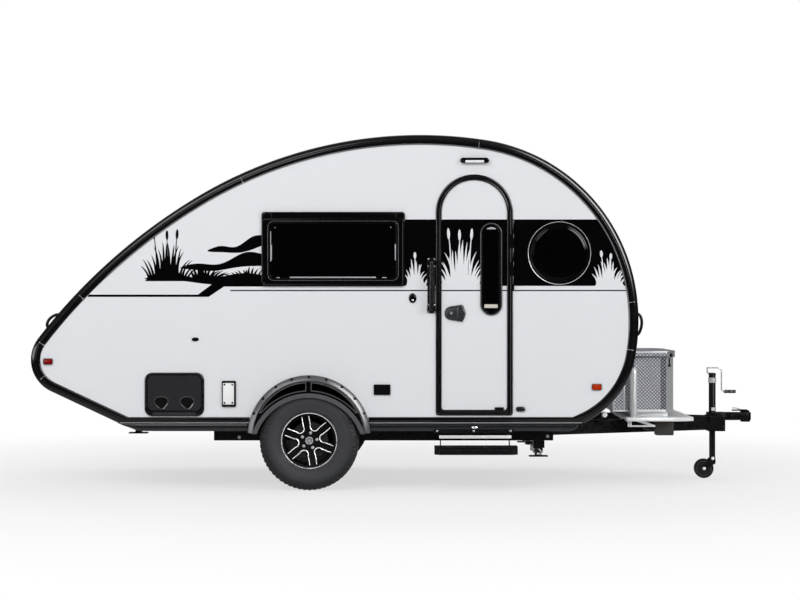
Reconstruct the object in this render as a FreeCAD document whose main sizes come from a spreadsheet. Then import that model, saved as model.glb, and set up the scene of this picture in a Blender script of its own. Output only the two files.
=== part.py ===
import FreeCAD, Part
import math
import operator
import os
import Sketcher

# Teardrop travel trailer, in millimetres.
# +X is forward to the coupler, +Y is left, +Z is up.
# The origin is on the ground under the middle of the trailer's box.
# The right-hand side (-Y) has the door.

doc = FreeCAD.newDocument("TeardropTrailer")
sheet = doc.addObject("Spreadsheet::Sheet", "Dims")

# name, value (mm or degrees), what it is
DIMENSIONS = [
    # body outline in side view: arcs that run into each other, and how far each one turns
    ("apex_x", 131.5, "highest point of the roof"),
    ("apex_z", 2623.0, "height of the roof"),
    ("roof_r", 3200.0, "roof arc"),
    ("roof_fore", 8.6, "roof turn ahead of the apex"),
    ("roof_aft", 30.45, "roof turn behind the apex"),
    ("brow_r", 1333.0, "arc over the front"),
    ("brow_turn", 69.8, ""),
    ("prow_r", 1447.0, "foremost arc"),
    ("prow_turn", 22.1, ""),
    ("chin_r", 671.0, "arc down to the floor"),
    ("back_r", 4208.0, "long arc down the back"),
    ("back_turn", 22.0, ""),
    ("tail_r", 259.0, "blunt tail"),
    ("tail_turn", 102.4, ""),
    # body build
    ("wall_y", 1005.0, "outer face of a side wall"),
    ("wall_thick", 25.0, ""),
    ("skin_inset", 6.0, "skin below the crown of the edge trim"),
    ("skin_thick", 25.0, "roof, front and rear panels"),
    ("floor_low", 470.0, "underside of the floor"),
    ("floor_thick", 40.0, ""),
    ("trim_low", 493.0, "bottom of the edge trim"),
    ("trim_rise", 44.0, "depth of the trim along the bottom"),
    ("trim_band", 73.0, "trim width on the side"),
    ("trim_proud", 12.0, "trim off the side wall"),
    ("trim_lap", 52.0, "trim lap over the roof"),
    ("skirt_thick", 30.0, ""),
    ("skirt_blend", 620.0, "rear corner of the skirt"),
    # wheels
    ("wheel_x", -686.0, "wheel centre"),
    ("tyre_r", 366.5, ""),
    ("tyre_wide", 235.0, ""),
    ("tyre_in", 30.0, "middle of the tyre, in from the wall"),
    ("bead_r", 196.0, "bead seat of the rim"),
    ("flange_r", 208.0, "rim flange"),
    ("rim_wide", 190.0, "over the flanges"),
    ("hub_bore", 33.0, "centre bore of the rim"),
    ("drum_r", 138.0, "brake drum"),
    ("spindle_r", 19.0, ""),
    # wheel arch and fender
    ("arch_x", -689.5, ""),
    ("arch_z", 392.0, "centre of the arch"),
    ("arch_r", 430.0, "hole in the wall"),
    ("well_thick", 12.0, "wheel well housing"),
    ("well_in", 177.0, "inner side of the wheel well, in from the wall"),
    ("fender_r", 455.0, "outer edge of the flange"),
    ("fender_band", 43.0, "flange width"),
    ("fender_out", 100.0, "outer face, out from the wall"),
    ("fender_low", 418.0, ""),
    ("lip_r", 405.0, "lower edge of the fender"),
    ("lip_z", 279.0, "centre of that edge"),
    ("lip_band", 32.0, ""),
    ("fender_wall", 5.0, ""),
    ("slot_top_r", 400.0, "upper edge of a slot, about the arch's centre"),
    ("slot_low_r", 459.0, "lower edge of a slot, about the lip's centre"),
    ("slot_post", 46.0, "post between the two slots"),
    ("slot_end_z", 578.0, "outer end of a slot"),
    ("slot_rib", 6.0, "rib round a slot"),
    ("slot_rib_proud", 3.0, ""),
    # chassis
    ("rail_in", 175.0, "outer face of a side rail, in from the wall"),
    ("rail_wide", 60.0, ""),
    ("rail_low", 352.0, ""),
    ("rail_back", -1408.5, "deep part of the rail"),
    ("rail_front", 1120.5, ""),
    ("tail_rail_low", 440.0, "shallow part of the rail"),
    ("tail_rail_back", -1945.0, ""),
    ("steel", 5.0, "steel wall"),
    ("cross_deep", 80.0, "crossmember"),
    ("cross_wide", 50.0, ""),
    ("bar_low", 386.0, "drawbar"),
    ("bar_deep", 104.0, ""),
    ("bar_wide", 50.0, ""),
    ("bar_tip_x", 2510.0, "front end of the drawbar"),
    ("bar_tip_y", 4.0, "inner face there"),
    ("bar_back_in", 158.0, "in from the side rail"),
    ("bar_step_x", 1330.0, "the drawbar is shallower behind this, under the floor"),
    ("bar_step_z", 443.0, ""),
    ("axle_ahead", 150.0, "axle beam ahead of the wheel"),
    ("axle_z", 306.0, ""),
    ("axle_size", 76.0, ""),
    ("arm_in", 171.0, "inner face of a trailing arm, in from the wall"),
    ("arm_thick", 14.0, ""),
    ("arm_eye_r", 34.0, "round ends of a trailing arm"),
    ("torsion_half", 22.0, "half the torsion bar inside the axle beam"),
    ("torsion_long", 160.0, ""),
    # coupler and jack
    ("nose_x", 2747.5, "front of the coupler"),
    ("ball_x", 2703.5, ""),
    ("socket_r", 25.7, ""),
    ("socket_low", 444.0, "underside of the coupler"),
    ("coupler_top", 517.0, ""),
    ("coupler_half", 62.0, "half its width at the drawbar"),
    ("socket_deep", 46.0, ""),
    ("latch_x", 2665.0, ""),
    ("latch_long", 69.0, ""),
    ("latch_half", 14.0, ""),
    ("latch_high", 16.0, ""),
    ("lever_x", 2598.0, ""),
    ("lever_half", 9.0, ""),
    ("lever_thick", 10.0, ""),
    ("jack_x", 2443.0, ""),
    ("jack_r", 27.0, "outer tube"),
    ("jack_wall", 3.0, ""),
    ("jack_top", 812.0, ""),
    ("jack_low", 376.0, ""),
    ("leg_gap", 0.3, "leg inside the tube"),
    ("leg_low", 160.0, ""),
    ("leg_top", 590.0, ""),
    ("leg_wall", 3.0, ""),
    ("king_r", 8.0, "pin that the caster turns on"),
    ("king_long", 26.0, ""),
    ("caster_axle_r", 6.0, ""),
    ("fork_thick", 4.0, ""),
    ("crank_r", 5.0, "bent bar of the crank"),
    ("grip_x", 2532.0, ""),
    ("grip_z", 681.0, ""),
    ("grip_r", 10.0, ""),
    ("grip_long", 96.0, ""),
    ("caster_r", 76.0, ""),
    ("caster_wide", 44.0, ""),
    ("caster_trail", 68.0, ""),
    # door
    ("door_x", 246.5, "rear edge of the door frame"),
    ("door_wide", 568.0, ""),
    ("door_z", 549.0, ""),
    ("door_high", 1780.0, ""),
    ("door_corner", 20.0, "lower corners"),
    ("frame_band", 20.0, "fixed frame seen from outside"),
    ("door_gap", 6.0, ""),
    ("edge_band", 16.0, "moulding round the leaf"),
    ("frame_proud", 9.0, ""),
    ("hinge_r", 6.5, "knuckle"),
    ("pin_r", 3.0, "hinge pin"),
    ("pin_gap", 0.06, "running clearance round a pin"),
    ("hinge_low", 1476.0, ""),
    ("hinge_high", 1993.0, ""),
    ("pane_x", 574.5, "window in the door"),
    ("pane_wide", 162.0, ""),
    ("pane_low", 1287.0, ""),
    ("pane_top", 1972.0, ""),
    ("pane_band", 14.0, ""),
    ("handle_x", 312.5, ""),
    ("handle_wide", 153.0, ""),
    ("handle_low", 1241.0, ""),
    ("handle_high", 126.0, ""),
    ("handle_corner", 26.0, "its two front corners; the rear end is round"),
    ("handle_proud", 16.0, ""),
    ("paddle_in", 20.0, "lever inside the edge of its plate"),
    ("paddle_short", 28.0, "and short of the plate's front edge"),
    ("paddle_proud", 12.0, ""),
    # side window
    ("window_x", -1040.5, ""),
    ("window_wide", 1059.0, ""),
    ("window_low", 1502.0, ""),
    ("window_high", 550.0, ""),
    ("window_corner", 22.0, ""),
    ("window_band", 45.0, ""),
    ("window_proud", 14.0, ""),
    ("window_lap", 20.0, "frame over the edge of the hole"),
    ("glass_thick", 7.0, ""),
    # porthole
    ("porthole_x", 1158.5, ""),
    ("porthole_z", 1748.0, ""),
    ("porthole_r", 233.0, ""),
    ("porthole_glass", 210.5, ""),
    # end windows: half width, and the stretch of skin that each one takes
    ("stargazer_y", 620.0, ""),
    ("stargazer_from", 19.0, "heading of the upper edge"),
    ("stargazer_to", 52.0, "heading of the lower edge"),
    ("rear_pane_y", 480.0, ""),
    ("rear_pane_from", 33.5, ""),
    ("rear_pane_to", 41.0, ""),
    # roof vent
    ("vent_x", 60.0, ""),
    ("vent_half", 178.0, "half the hole in the roof"),
    ("vent_band", 34.0, ""),
    ("vent_rise", 12.0, "base above the crown of the trim"),
    ("lid_rise", 34.0, ""),
    ("vent_hinge_r", 5.0, "knuckle"),
    ("vent_lug", 60.0, "half of the hinge's fixed knuckle"),
    ("vent_wall", 4.0, "top of the lid"),
    ("lid_gap", 0.3, "a lid over its seat"),
    # stabilisers: each one's own origin is the middle of its leg and the top of its mount
    ("front_leg_x", 1020.0, ""),
    ("front_leg_top", 296.0, ""),
    ("rear_leg_x", -1980.0, ""),
    ("rear_leg_top", 470.0, "under the floor"),
    ("stab_in", 215.0, "outer end of a leg, in from the wall"),
    ("stab_pivot_y", 330.0, ""),
    ("stab_drop", 44.0, "pivot below the top"),
    ("stab_pin_r", 6.0, ""),
    ("mount_half", 32.0, "half the mount's width"),
    ("mount_deep", 56.0, "at the pivot"),
    ("mount_shallow", 34.0, "elsewhere"),
    ("mount_wall", 4.0, ""),
    ("leg_half", 21.0, "half the leg's width"),
    ("leg_thick", 26.0, ""),
    ("foot_half", 70.0, ""),
    ("foot_long", 86.0, ""),
    ("foot_thick", 8.0, ""),
    # step
    ("step_x", 236.0, ""),
    ("step_wide", 613.0, ""),
    ("step_out", 95.0, "outer edge of the tread, out from the wall"),
    ("step_deep", 176.0, ""),
    ("step_low", 264.0, ""),
    ("step_thick", 59.0, ""),
    ("arm_pivot_in", 80.0, "in from the wall"),
    ("arm_pivot_z", 397.0, ""),
    ("arm_foot_in", 13.0, "in from the wall"),
    ("arm_foot_z", 306.0, ""),
    ("step_arm_x", 281.0, "rear arm"),
    ("step_arm_gap", 510.0, "between the arms"),
    ("step_arm_half", 9.0, "half the arm's width"),
    ("step_arm_thick", 8.0, ""),
    ("step_pin_r", 6.0, ""),
    ("step_foot_r", 5.0, "pin at the foot of the arms"),
    ("step_wall", 4.0, ""),
    ("step_corner", 40.0, "cut outer corners"),
    ("bracket_low", 420.0, "top rail that the step hangs from"),
    ("bracket_high", 30.0, ""),
    ("bracket_out", 12.0, "that rail off the wall"),
    ("spreader_low", 380.0, "bright bar between the hangers"),
    ("spreader_high", 22.0, ""),
    # tongue box and deck
    ("box_back", 1772.0, ""),
    ("box_front", 2088.0, ""),
    ("box_y", 500.0, ""),
    ("box_low", 547.0, ""),
    ("box_high", 416.0, ""),
    ("box_wall", 4.0, ""),
    ("box_cut_x", 73.0, "angled front corner"),
    ("box_cut_y", 150.0, ""),
    ("box_lap", 12.0, "lid outside the box"),
    ("box_lid_top", 49.0, "top of the lid over the foot of its rim"),
    ("box_rim", 20.0, "box over the foot of the lid's rim"),
    ("box_hinge_r", 6.0, "knuckle"),
    ("box_hinge_z", 983.0, ""),
    ("box_knuckle", 90.0, "half a knuckle"),
    ("box_tail_x", 1610.0, "low rear part of the box"),
    ("box_tail_y", 460.0, ""),
    ("box_tail_low", 90.0, "its back"),
    ("box_tail_high", 320.0, "its front"),
    ("deck_back", 1700.0, ""),
    ("deck_front", 2215.0, ""),
    ("deck_y", 620.0, ""),
    ("deck_cut", 60.0, "cut corner"),
    ("deck_top", 510.0, ""),
    ("deck_lip", 28.0, ""),
    ("deck_thick", 4.0, ""),
    ("deck_beam", 40.0, "beam under the deck"),
    ("gusset_x", 1712.0, ""),
    ("gusset_long", 210.0, ""),
    ("gusset_low", 438.0, ""),
    ("gusset_thick", 6.0, ""),
    ("gusset_in", 44.0, "inside the deck's edge"),
    ("case_x", 1928.0, "equipment box under the deck"),
    ("case_long", 141.0, ""),
    ("case_y", 440.0, "its inner side"),
    ("case_wide", 100.0, ""),
    ("case_low", 370.0, ""),
    # grab handles and assist handle
    ("grab_in", 125.0, "in from the wall"),
    ("grab_wide", 26.0, ""),
    ("grab_thick", 22.0, ""),
    ("grab_rise", 45.0, "over the crown of the trim"),
    ("assist_x", 182.5, ""),
    ("assist_wide", 62.0, ""),
    ("assist_low", 1304.0, ""),
    ("assist_high", 408.0, ""),
    ("assist_plate", 70.0, "plate at each end"),
    ("assist_proud", 10.0, "plates"),
    ("assist_off", 62.0, "middle of the bar off the wall"),
    ("assist_r", 15.5, ""),
]


class Size:
    """A number and the spreadsheet formula that gives it."""

    def __init__(self, number, formula):
        self.number = float(number)
        self.formula = formula

    def __add__(self, other):
        return combine(self, "+", other)

    def __radd__(self, other):
        return combine(other, "+", self)

    def __sub__(self, other):
        return combine(self, "-", other)

    def __rsub__(self, other):
        return combine(other, "-", self)

    def __mul__(self, other):
        return combine(self, "*", other)

    def __rmul__(self, other):
        return combine(other, "*", self)

    def __truediv__(self, other):
        return combine(self, "/", other)

    def __neg__(self):
        return combine(0, "-", self)


OPERATIONS = {"+": operator.add, "-": operator.sub, "*": operator.mul, "/": operator.truediv}


def as_size(value):
    if isinstance(value, Size):
        return value
    return Size(value, f"({float(value):.6f})")


def combine(left, sign, right):
    left = as_size(left)
    right = as_size(right)
    number = OPERATIONS[sign](left.number, right.number)
    return Size(number, f"({left.formula} {sign} {right.formula})")


def sine(angle):
    angle = as_size(angle)
    return Size(math.sin(math.radians(angle.number)), f"sin({angle.formula})")


def cosine(angle):
    angle = as_size(angle)
    return Size(math.cos(math.radians(angle.number)), f"cos({angle.formula})")


def root(value):
    value = as_size(value)
    return Size(math.sqrt(value.number), f"sqrt({value.formula})")


def fill_sheet():
    """Writes the dimensions to the sheet and returns them by name."""
    sizes = {}
    for row, (name, value, note) in enumerate(DIMENSIONS, 1):
        sheet.set(f"A{row}", name)
        sheet.set(f"B{row}", str(value))
        sheet.set(f"C{row}", note)
        sheet.setAlias(f"B{row}", name)
        sizes[name] = Size(value, f"Dims.{name}")
    doc.recompute()
    return sizes


def tie_sizes(sizes):
    """Adds the places that follow the side wall, the side rail or the jack's tube."""
    wall = sizes["wall_y"]
    for name, gap in (("tyre_y", "tyre_in"), ("well_y", "well_in"), ("rail_y", "rail_in"),
                      ("arm_y", "arm_in"), ("stab_out", "stab_in"), ("arm_pivot_y", "arm_pivot_in"),
                      ("arm_foot_y", "arm_foot_in"), ("grab_y", "grab_in")):
        sizes[name] = wall - sizes[gap]
    sizes["fender_y"] = wall + sizes["fender_out"]
    sizes["step_y"] = wall + sizes["step_out"]
    sizes["bar_back_y"] = sizes["rail_y"] - sizes["bar_back_in"]
    sizes["leg_r"] = sizes["jack_r"] - sizes["jack_wall"] - sizes["leg_gap"]
    return sizes


D = tie_sizes(fill_sheet())
NODES = []
RIGHT = -1
LEFT = 1


# ---------------------------------------------------------------- document helpers

def bind(thing, name, value):
    value = as_size(value)
    thing.setExpression(name, value.formula)


def place(thing, x, y, z):
    for axis, value in zip("xyz", (x, y, z)):
        bind(thing, f"Placement.Base.{axis}", value)
    return thing


def node(thing, name):
    """Names a finished sub-part: its label is its node's name."""
    thing.Label = name
    NODES.append(thing)
    return thing


def box(x0, x1, y0, y1, z0, z1):
    thing = doc.addObject("Part::Box", "block")
    bind(thing, "Length", as_size(x1) - x0)
    bind(thing, "Width", as_size(y1) - y0)
    bind(thing, "Height", as_size(z1) - z0)
    return place(thing, x0, y0, z0)


TURN_TO = {
    "x": FreeCAD.Rotation(FreeCAD.Vector(0, 1, 0), 90),
    "y": FreeCAD.Rotation(FreeCAD.Vector(1, 0, 0), -90),
    "z": FreeCAD.Rotation(),
}


def rod(axis, x, y, z, radius, length):
    """A cylinder from (x, y, z) that runs for length along +axis."""
    thing = doc.addObject("Part::Cylinder", "rod")
    bind(thing, "Radius", radius)
    bind(thing, "Height", length)
    thing.Placement = FreeCAD.Placement(FreeCAD.Vector(), TURN_TO[axis])
    return place(thing, x, y, z)


def fuse(parts):
    thing = doc.addObject("Part::MultiFuse", "union")
    thing.Shapes = parts
    return thing


def cut(base, tools):
    thing = doc.addObject("Part::Cut", "cut")
    thing.Base = base
    thing.Tool = tools[0] if len(tools) == 1 else fuse(tools)
    return thing


def group(parts):
    """Separate solids that share one node."""
    thing = doc.addObject("Part::Compound", "group")
    thing.Links = parts
    return thing


def mirror(source):
    thing = doc.addObject("Part::Mirroring", "mirrored")
    thing.Source = source
    thing.Base = (0, 0, 0)
    thing.Normal = (0, 1, 0)
    return thing


def pair(source):
    """The piece and its mirror image on the other side."""
    return group([source, mirror(source)])


def body(name):
    return doc.addObject("PartDesign::Body", f"{name}_form")


# A sketch plane's normal: side views look along -Y, plans along +Z, ends along +X.
PLANES = {"side": ("XZ_Plane", -1), "plan": ("XY_Plane", 1), "end": ("YZ_Plane", 1)}


def sketch(owner, view, at):
    role, sign = PLANES[view]
    drawing = owner.newObject("Sketcher::SketchObject", "profile")
    plane = next(f for f in owner.Origin.OriginFeatures if f.Role == role)
    drawing.AttachmentSupport = [(plane, "")]
    drawing.MapMode = "FlatFace"
    bind(drawing, "AttachmentOffset.Base.z", as_size(at) * sign)
    return drawing


def pin_point(drawing, geometry, end, x, z, only=None):
    for kind, value in (("DistanceX", x), ("DistanceY", z)):
        if only and kind != only:
            continue
        value = as_size(value)
        rule = Sketcher.Constraint(kind, -1, 1, geometry, end, value.number)
        index = drawing.addConstraint(rule)
        drawing.setExpression(f"Constraints[{index}]", value.formula)


def draw(drawing, pieces):
    """Draws a closed outline. Each piece starts at its own point and ends at the next one's:
    ("line", x, z), or ("left" or "right", x, z, centre x, centre z) for an arc that turns that way."""
    first = drawing.GeometryCount
    ends = []
    for piece, following in zip(pieces, pieces[1:] + pieces[:1]):
        start = FreeCAD.Vector(as_size(piece[1]).number, as_size(piece[2]).number, 0)
        stop = FreeCAD.Vector(as_size(following[1]).number, as_size(following[2]).number, 0)
        if piece[0] == "line":
            drawing.addGeometry(Part.LineSegment(start, stop), False)
            ends.append((1, 2))
            continue
        centre = FreeCAD.Vector(as_size(piece[3]).number, as_size(piece[4]).number, 0)
        low, high = (start, stop) if piece[0] == "left" else (stop, start)
        circle = Part.Circle(centre, FreeCAD.Vector(0, 0, 1), (start - centre).Length)
        angles = [math.atan2(p.y - centre.y, p.x - centre.x) for p in (low, high)]
        drawing.addGeometry(Part.ArcOfCircle(circle, angles[0], angles[1]), False)
        ends.append((1, 2) if piece[0] == "left" else (2, 1))
    count = len(pieces)
    for index in range(count):
        after = (index + 1) % count
        joined = Sketcher.Constraint("Coincident", first + index, ends[index][1],
                                     first + after, ends[after][0])
        drawing.addConstraint(joined)
    for index, piece in enumerate(pieces):
        before = pieces[index - 1]
        only = None
        if before[0] != "line":
            across = abs(as_size(piece[1]).number - as_size(before[3]).number)
            along = abs(as_size(piece[2]).number - as_size(before[4]).number)
            only = "DistanceY" if across > along else "DistanceX"
        pin_point(drawing, first + index, ends[index][0], piece[1], piece[2], only)
        if piece[0] != "line":
            pin_point(drawing, first + index, 3, piece[3], piece[4])


def draw_circle(drawing, x, z, radius):
    radius = as_size(radius)
    centre = FreeCAD.Vector(as_size(x).number, as_size(z).number, 0)
    index = drawing.addGeometry(Part.Circle(centre, FreeCAD.Vector(0, 0, 1), radius.number), False)
    pin_point(drawing, index, 3, x, z)
    rule = drawing.addConstraint(Sketcher.Constraint("Radius", index, radius.number))
    drawing.setExpression(f"Constraints[{rule}]", radius.formula)


def draw_rounded(drawing, x0, x1, z0, z1, corner):
    """A rectangle with four round corners."""
    draw(drawing, [
        ("line", x0 + corner, z0),
        ("left", x1 - corner, z0, x1 - corner, z0 + corner),
        ("line", x1, z0 + corner),
        ("left", x1, z1 - corner, x1 - corner, z1 - corner),
        ("line", x1 - corner, z1),
        ("left", x0 + corner, z1, x0 + corner, z1 - corner),
        ("line", x0, z1 - corner),
        ("left", x0, z0 + corner, x0 + corner, z0 + corner),
    ])


def draw_box(drawing, x0, x1, z0, z1):
    draw(drawing, [("line", x0, z0), ("line", x1, z0), ("line", x1, z1), ("line", x0, z1)])


def pad(owner, drawing, length, back=False):
    feature = owner.newObject("PartDesign::Pad", "pad")
    feature.Profile = drawing
    feature.Reversed = back
    bind(feature, "Length", length)
    return feature


def pocket(owner, drawing, length, back=False):
    feature = owner.newObject("PartDesign::Pocket", "pocket")
    feature.Profile = drawing
    feature.Reversed = back
    bind(feature, "Length", length)
    return feature


def revolve(owner, drawing, axis):
    feature = owner.newObject("PartDesign::Revolution", "turned")
    feature.Profile = drawing
    feature.ReferenceAxis = axis
    feature.Angle = 360
    return feature


# ---------------------------------------------------------------- body outline

def outline_centres():
    """Centre and radius of each arc of the outline."""
    x, z = D["apex_x"], D["apex_z"] - D["roof_r"]
    arcs = {"roof": (x, z, D["roof_r"])}
    chains = (
        (("brow", D["brow_r"], D["roof_fore"]),
         ("prow", D["prow_r"], D["roof_fore"] + D["brow_turn"]),
         ("chin", D["chin_r"], D["roof_fore"] + D["brow_turn"] + D["prow_turn"])),
        (("back", D["back_r"], -D["roof_aft"]),
         ("tail", D["tail_r"], -(D["roof_aft"] + D["back_turn"]))),
    )
    for chain in chains:
        x, z, radius = arcs["roof"]
        for name, next_radius, heading in chain:
            x = x + (radius - next_radius) * sine(heading)
            z = z + (radius - next_radius) * cosine(heading)
            radius = next_radius
            arcs[name] = (x, z, radius)
    return arcs


ARCS = outline_centres()
BROW = D["roof_fore"]
PROW = BROW + D["brow_turn"]
CHIN = PROW + D["prow_turn"]
BACK = -D["roof_aft"]
TAIL = BACK - D["back_turn"]
BELLY = TAIL - D["tail_turn"]


def skin_point(arc, heading, inset):
    """The point of an arc where the outline heads that many degrees below level."""
    x, z, radius = ARCS[arc]
    return x + (radius - inset) * sine(heading), z + (radius - inset) * cosine(heading)


def chin_x(z, inset):
    """Where the chin arc crosses a height."""
    x, centre_z, radius = ARCS["chin"]
    reach = radius - inset
    drop = centre_z - z
    return x + root(reach * reach - drop * drop)


def belly_x(z, inset):
    """Where the straight slope under the tail crosses a height."""
    x, tail_z = skin_point("tail", BELLY, inset)
    return x + (tail_z - z) * cosine(BELLY) / sine(BELLY)


def draw_outline(drawing, inset, low):
    """The whole outline, drawn in by inset, down to a level bottom edge at low."""
    def arc(name, turn, heading):
        x, z = skin_point(name, heading, inset)
        return (turn, x, z, ARCS[name][0], ARCS[name][1])
    draw(drawing, [
        arc("tail", "right", BELLY),
        arc("back", "right", TAIL),
        arc("roof", "right", BACK),
        arc("brow", "right", BROW),
        arc("prow", "right", PROW),
        arc("chin", "right", CHIN),
        ("line", chin_x(low, inset), low),
        ("line", belly_x(low, inset), low),
    ])


def draw_floor(drawing, inset, low, high):
    """The part of the outline between two low levels."""
    draw(drawing, [
        ("line", belly_x(high, inset), high),
        ("right", chin_x(high, inset), high, ARCS["chin"][0], ARCS["chin"][1]),
        ("line", chin_x(low, inset), low),
        ("line", belly_x(low, inset), low),
    ])


def draw_skirt(drawing, high):
    """The outline below a level, down to the bottom of the chin, with its rear corner rounded."""
    chin_centre_x, chin_centre_z, radius = ARCS["chin"]
    low = chin_centre_z - radius
    half = (180 + BELLY) / 2
    reach = D["skirt_blend"] * sine(half) / cosine(half)
    corner_x = belly_x(low, 0)
    draw(drawing, [
        ("line", belly_x(high, 0), high),
        ("right", chin_x(high, 0), high, chin_centre_x, chin_centre_z),
        ("line", chin_centre_x, low),
        ("right", corner_x + reach, low, corner_x + reach, low + D["skirt_blend"]),
        ("line", corner_x - reach * cosine(180 + BELLY), low + reach * sine(180 + BELLY)),
    ])


def draw_skin(drawing, outer, inner, run, low=None):
    """A strip of skin between two insets, along a run of arcs: (name, from, to) clockwise.
    With low, the strip goes on down the slope under the tail to that height."""
    pieces = []
    for name, start, stop in run:
        x, z = skin_point(name, start, outer)
        pieces.append(("right", x, z, ARCS[name][0], ARCS[name][1]))
    x, z = skin_point(run[-1][0], run[-1][2], outer)
    pieces.append(("line", x, z))
    for name, start, stop in reversed(run):
        x, z = skin_point(name, stop, inner)
        pieces.append(("left", x, z, ARCS[name][0], ARCS[name][1]))
    x, z = skin_point(run[0][0], run[0][1], inner)
    pieces.append(("line", x, z))
    if low is not None:
        pieces.append(("line", belly_x(low, inner), low))
        pieces.append(("line", belly_x(low, outer), low))
    draw(drawing, pieces)


# ---------------------------------------------------------------- cabin

WALL_IN = D["wall_y"] - D["wall_thick"]
SKIN_IN = D["skin_inset"] + D["skin_thick"]
ARCH = (D["arch_x"], D["arch_z"])


def draw_door(drawing, inset):
    """The doorway's outline, drawn in by inset."""
    x0 = D["door_x"] + inset
    x1 = D["door_x"] + D["door_wide"] - inset
    z0 = D["door_z"] + inset
    middle = D["door_x"] + D["door_wide"] / 2
    spring = D["door_z"] + D["door_high"] - D["door_wide"] / 2
    corner = D["door_corner"]
    draw(drawing, [
        ("line", x0 + corner, z0),
        ("left", x1 - corner, z0, x1 - corner, z0 + corner),
        ("line", x1, z0 + corner),
        ("left", x1, spring, middle, spring),
        ("line", x0, spring),
        ("left", x0, z0 + corner, x0 + corner, z0 + corner),
    ])


def draw_window(drawing, inset, corner):
    draw_rounded(drawing, D["window_x"] + inset, D["window_x"] + D["window_wide"] - inset,
                 D["window_low"] + inset, D["window_low"] + D["window_high"] - inset, corner)


def draw_pill(drawing, x0, x1, z0, z1):
    """An upright slot with round ends."""
    radius = (x1 - x0) / 2
    draw(drawing, [
        ("line", x1, z0 + radius),
        ("left", x1, z1 - radius, x0 + radius, z1 - radius),
        ("line", x0, z1 - radius),
        ("left", x0, z0 + radius, x0 + radius, z0 + radius),
    ])


def wall_holes(drawing, door):
    if door:
        draw_door(drawing, D["frame_band"] / 2)
    draw_window(drawing, D["window_lap"], D["window_corner"])
    draw_circle(drawing, D["porthole_x"], D["porthole_z"], D["porthole_r"] - D["window_lap"])


def side_wall(side):
    door = side == RIGHT
    wall = body("wall")
    plan = sketch(wall, "side", WALL_IN * side)
    draw_outline(plan, D["skin_inset"], D["trim_low"])
    wall_holes(plan, door)
    pad(wall, plan, D["wall_thick"], back=side == LEFT)
    arch = sketch(wall, "side", WALL_IN * side)
    draw_circle(arch, *ARCH, D["arch_r"])
    pocket(wall, arch, D["wall_thick"], back=side == RIGHT)
    return wall


def skin_panel(run, low=None):
    panel = body("panel")
    strip = sketch(panel, "side", WALL_IN)
    draw_skin(strip, D["skin_inset"], SKIN_IN, run, low)
    pad(panel, strip, WALL_IN * 2)
    return panel


def pane_cutter(arc, start, stop, half):
    """The block of skin that a curved window takes out, with some room above and below."""
    cutter = body("cutter")
    strip = sketch(cutter, "side", half)
    draw_skin(strip, D["skin_inset"] - 5, SKIN_IN + 5, [(arc, start, stop)])
    pad(cutter, strip, half * 2)
    return cutter


def floor_panel():
    floor = body("floor")
    plan = sketch(floor, "side", WALL_IN)
    draw_floor(plan, SKIN_IN, D["floor_low"], D["floor_low"] + D["floor_thick"])
    pad(floor, plan, WALL_IN * 2)
    notch = sketch(floor, "plan", D["floor_low"])
    for side in (RIGHT, LEFT):
        y0, y1 = sorted((D["well_y"] * side, WALL_IN * side), key=lambda size: size.number)
        draw_box(notch, D["arch_x"] - D["arch_r"], D["arch_x"] + D["arch_r"], y0, y1)
    pocket(floor, notch, D["floor_thick"], back=True)
    return floor


def draw_arch(drawing, radius, low):
    """An arch over the wheel with a level foot."""
    rise = low - D["arch_z"]
    half = root(radius * radius - rise * rise)
    draw(drawing, [
        ("line", D["arch_x"] - half, low),
        ("left", D["arch_x"] + half, low, *ARCH),
    ])


def wheel_well():
    """An arched housing, open below and to the outside, closed on the cabin's side."""
    well = body("well")
    solid = sketch(well, "side", -D["well_y"])
    draw_arch(solid, D["arch_r"], D["floor_low"])
    pad(well, solid, D["wall_y"] - D["well_y"])
    room = sketch(well, "side", -(D["well_y"] + D["well_thick"]))
    low = D["floor_low"] - 1
    radius = D["arch_r"] - D["well_thick"]
    draw_arch(room, radius, low)
    pocket(well, room, D["wall_y"] - D["well_y"], back=True)
    return well


def edge_trim():
    """The moulding round a side wall: a band on the wall and a lap over the roof."""
    trim = body("trim")
    band = sketch(trim, "side", -D["wall_y"])
    draw_outline(band, 0, D["trim_low"])
    draw_outline(band, D["trim_band"], D["trim_low"] + D["trim_rise"])
    pad(trim, band, D["trim_proud"])
    lap = sketch(trim, "side", -(D["wall_y"] - D["trim_lap"]))
    run = [("tail", BELLY, TAIL), ("back", TAIL, BACK), ("roof", BACK, BROW),
           ("brow", BROW, PROW), ("prow", PROW, CHIN), ("chin", CHIN, 155)]
    draw_skin(lap, 0, D["skin_inset"], run, D["trim_low"])
    pad(trim, lap, D["trim_lap"])
    arch = sketch(trim, "side", -D["wall_y"])
    draw_circle(arch, *ARCH, D["fender_r"])
    pocket(trim, arch, D["trim_proud"], back=True)
    return trim


def side_skirt():
    skirt = body("skirt")
    plan = sketch(skirt, "side", -WALL_IN)
    draw_skirt(plan, D["trim_low"])
    pad(skirt, plan, D["skirt_thick"])
    arch = sketch(skirt, "side", -WALL_IN)
    draw_circle(arch, *ARCH, D["fender_r"])
    pocket(skirt, arch, D["skirt_thick"], back=True)
    return skirt


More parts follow.
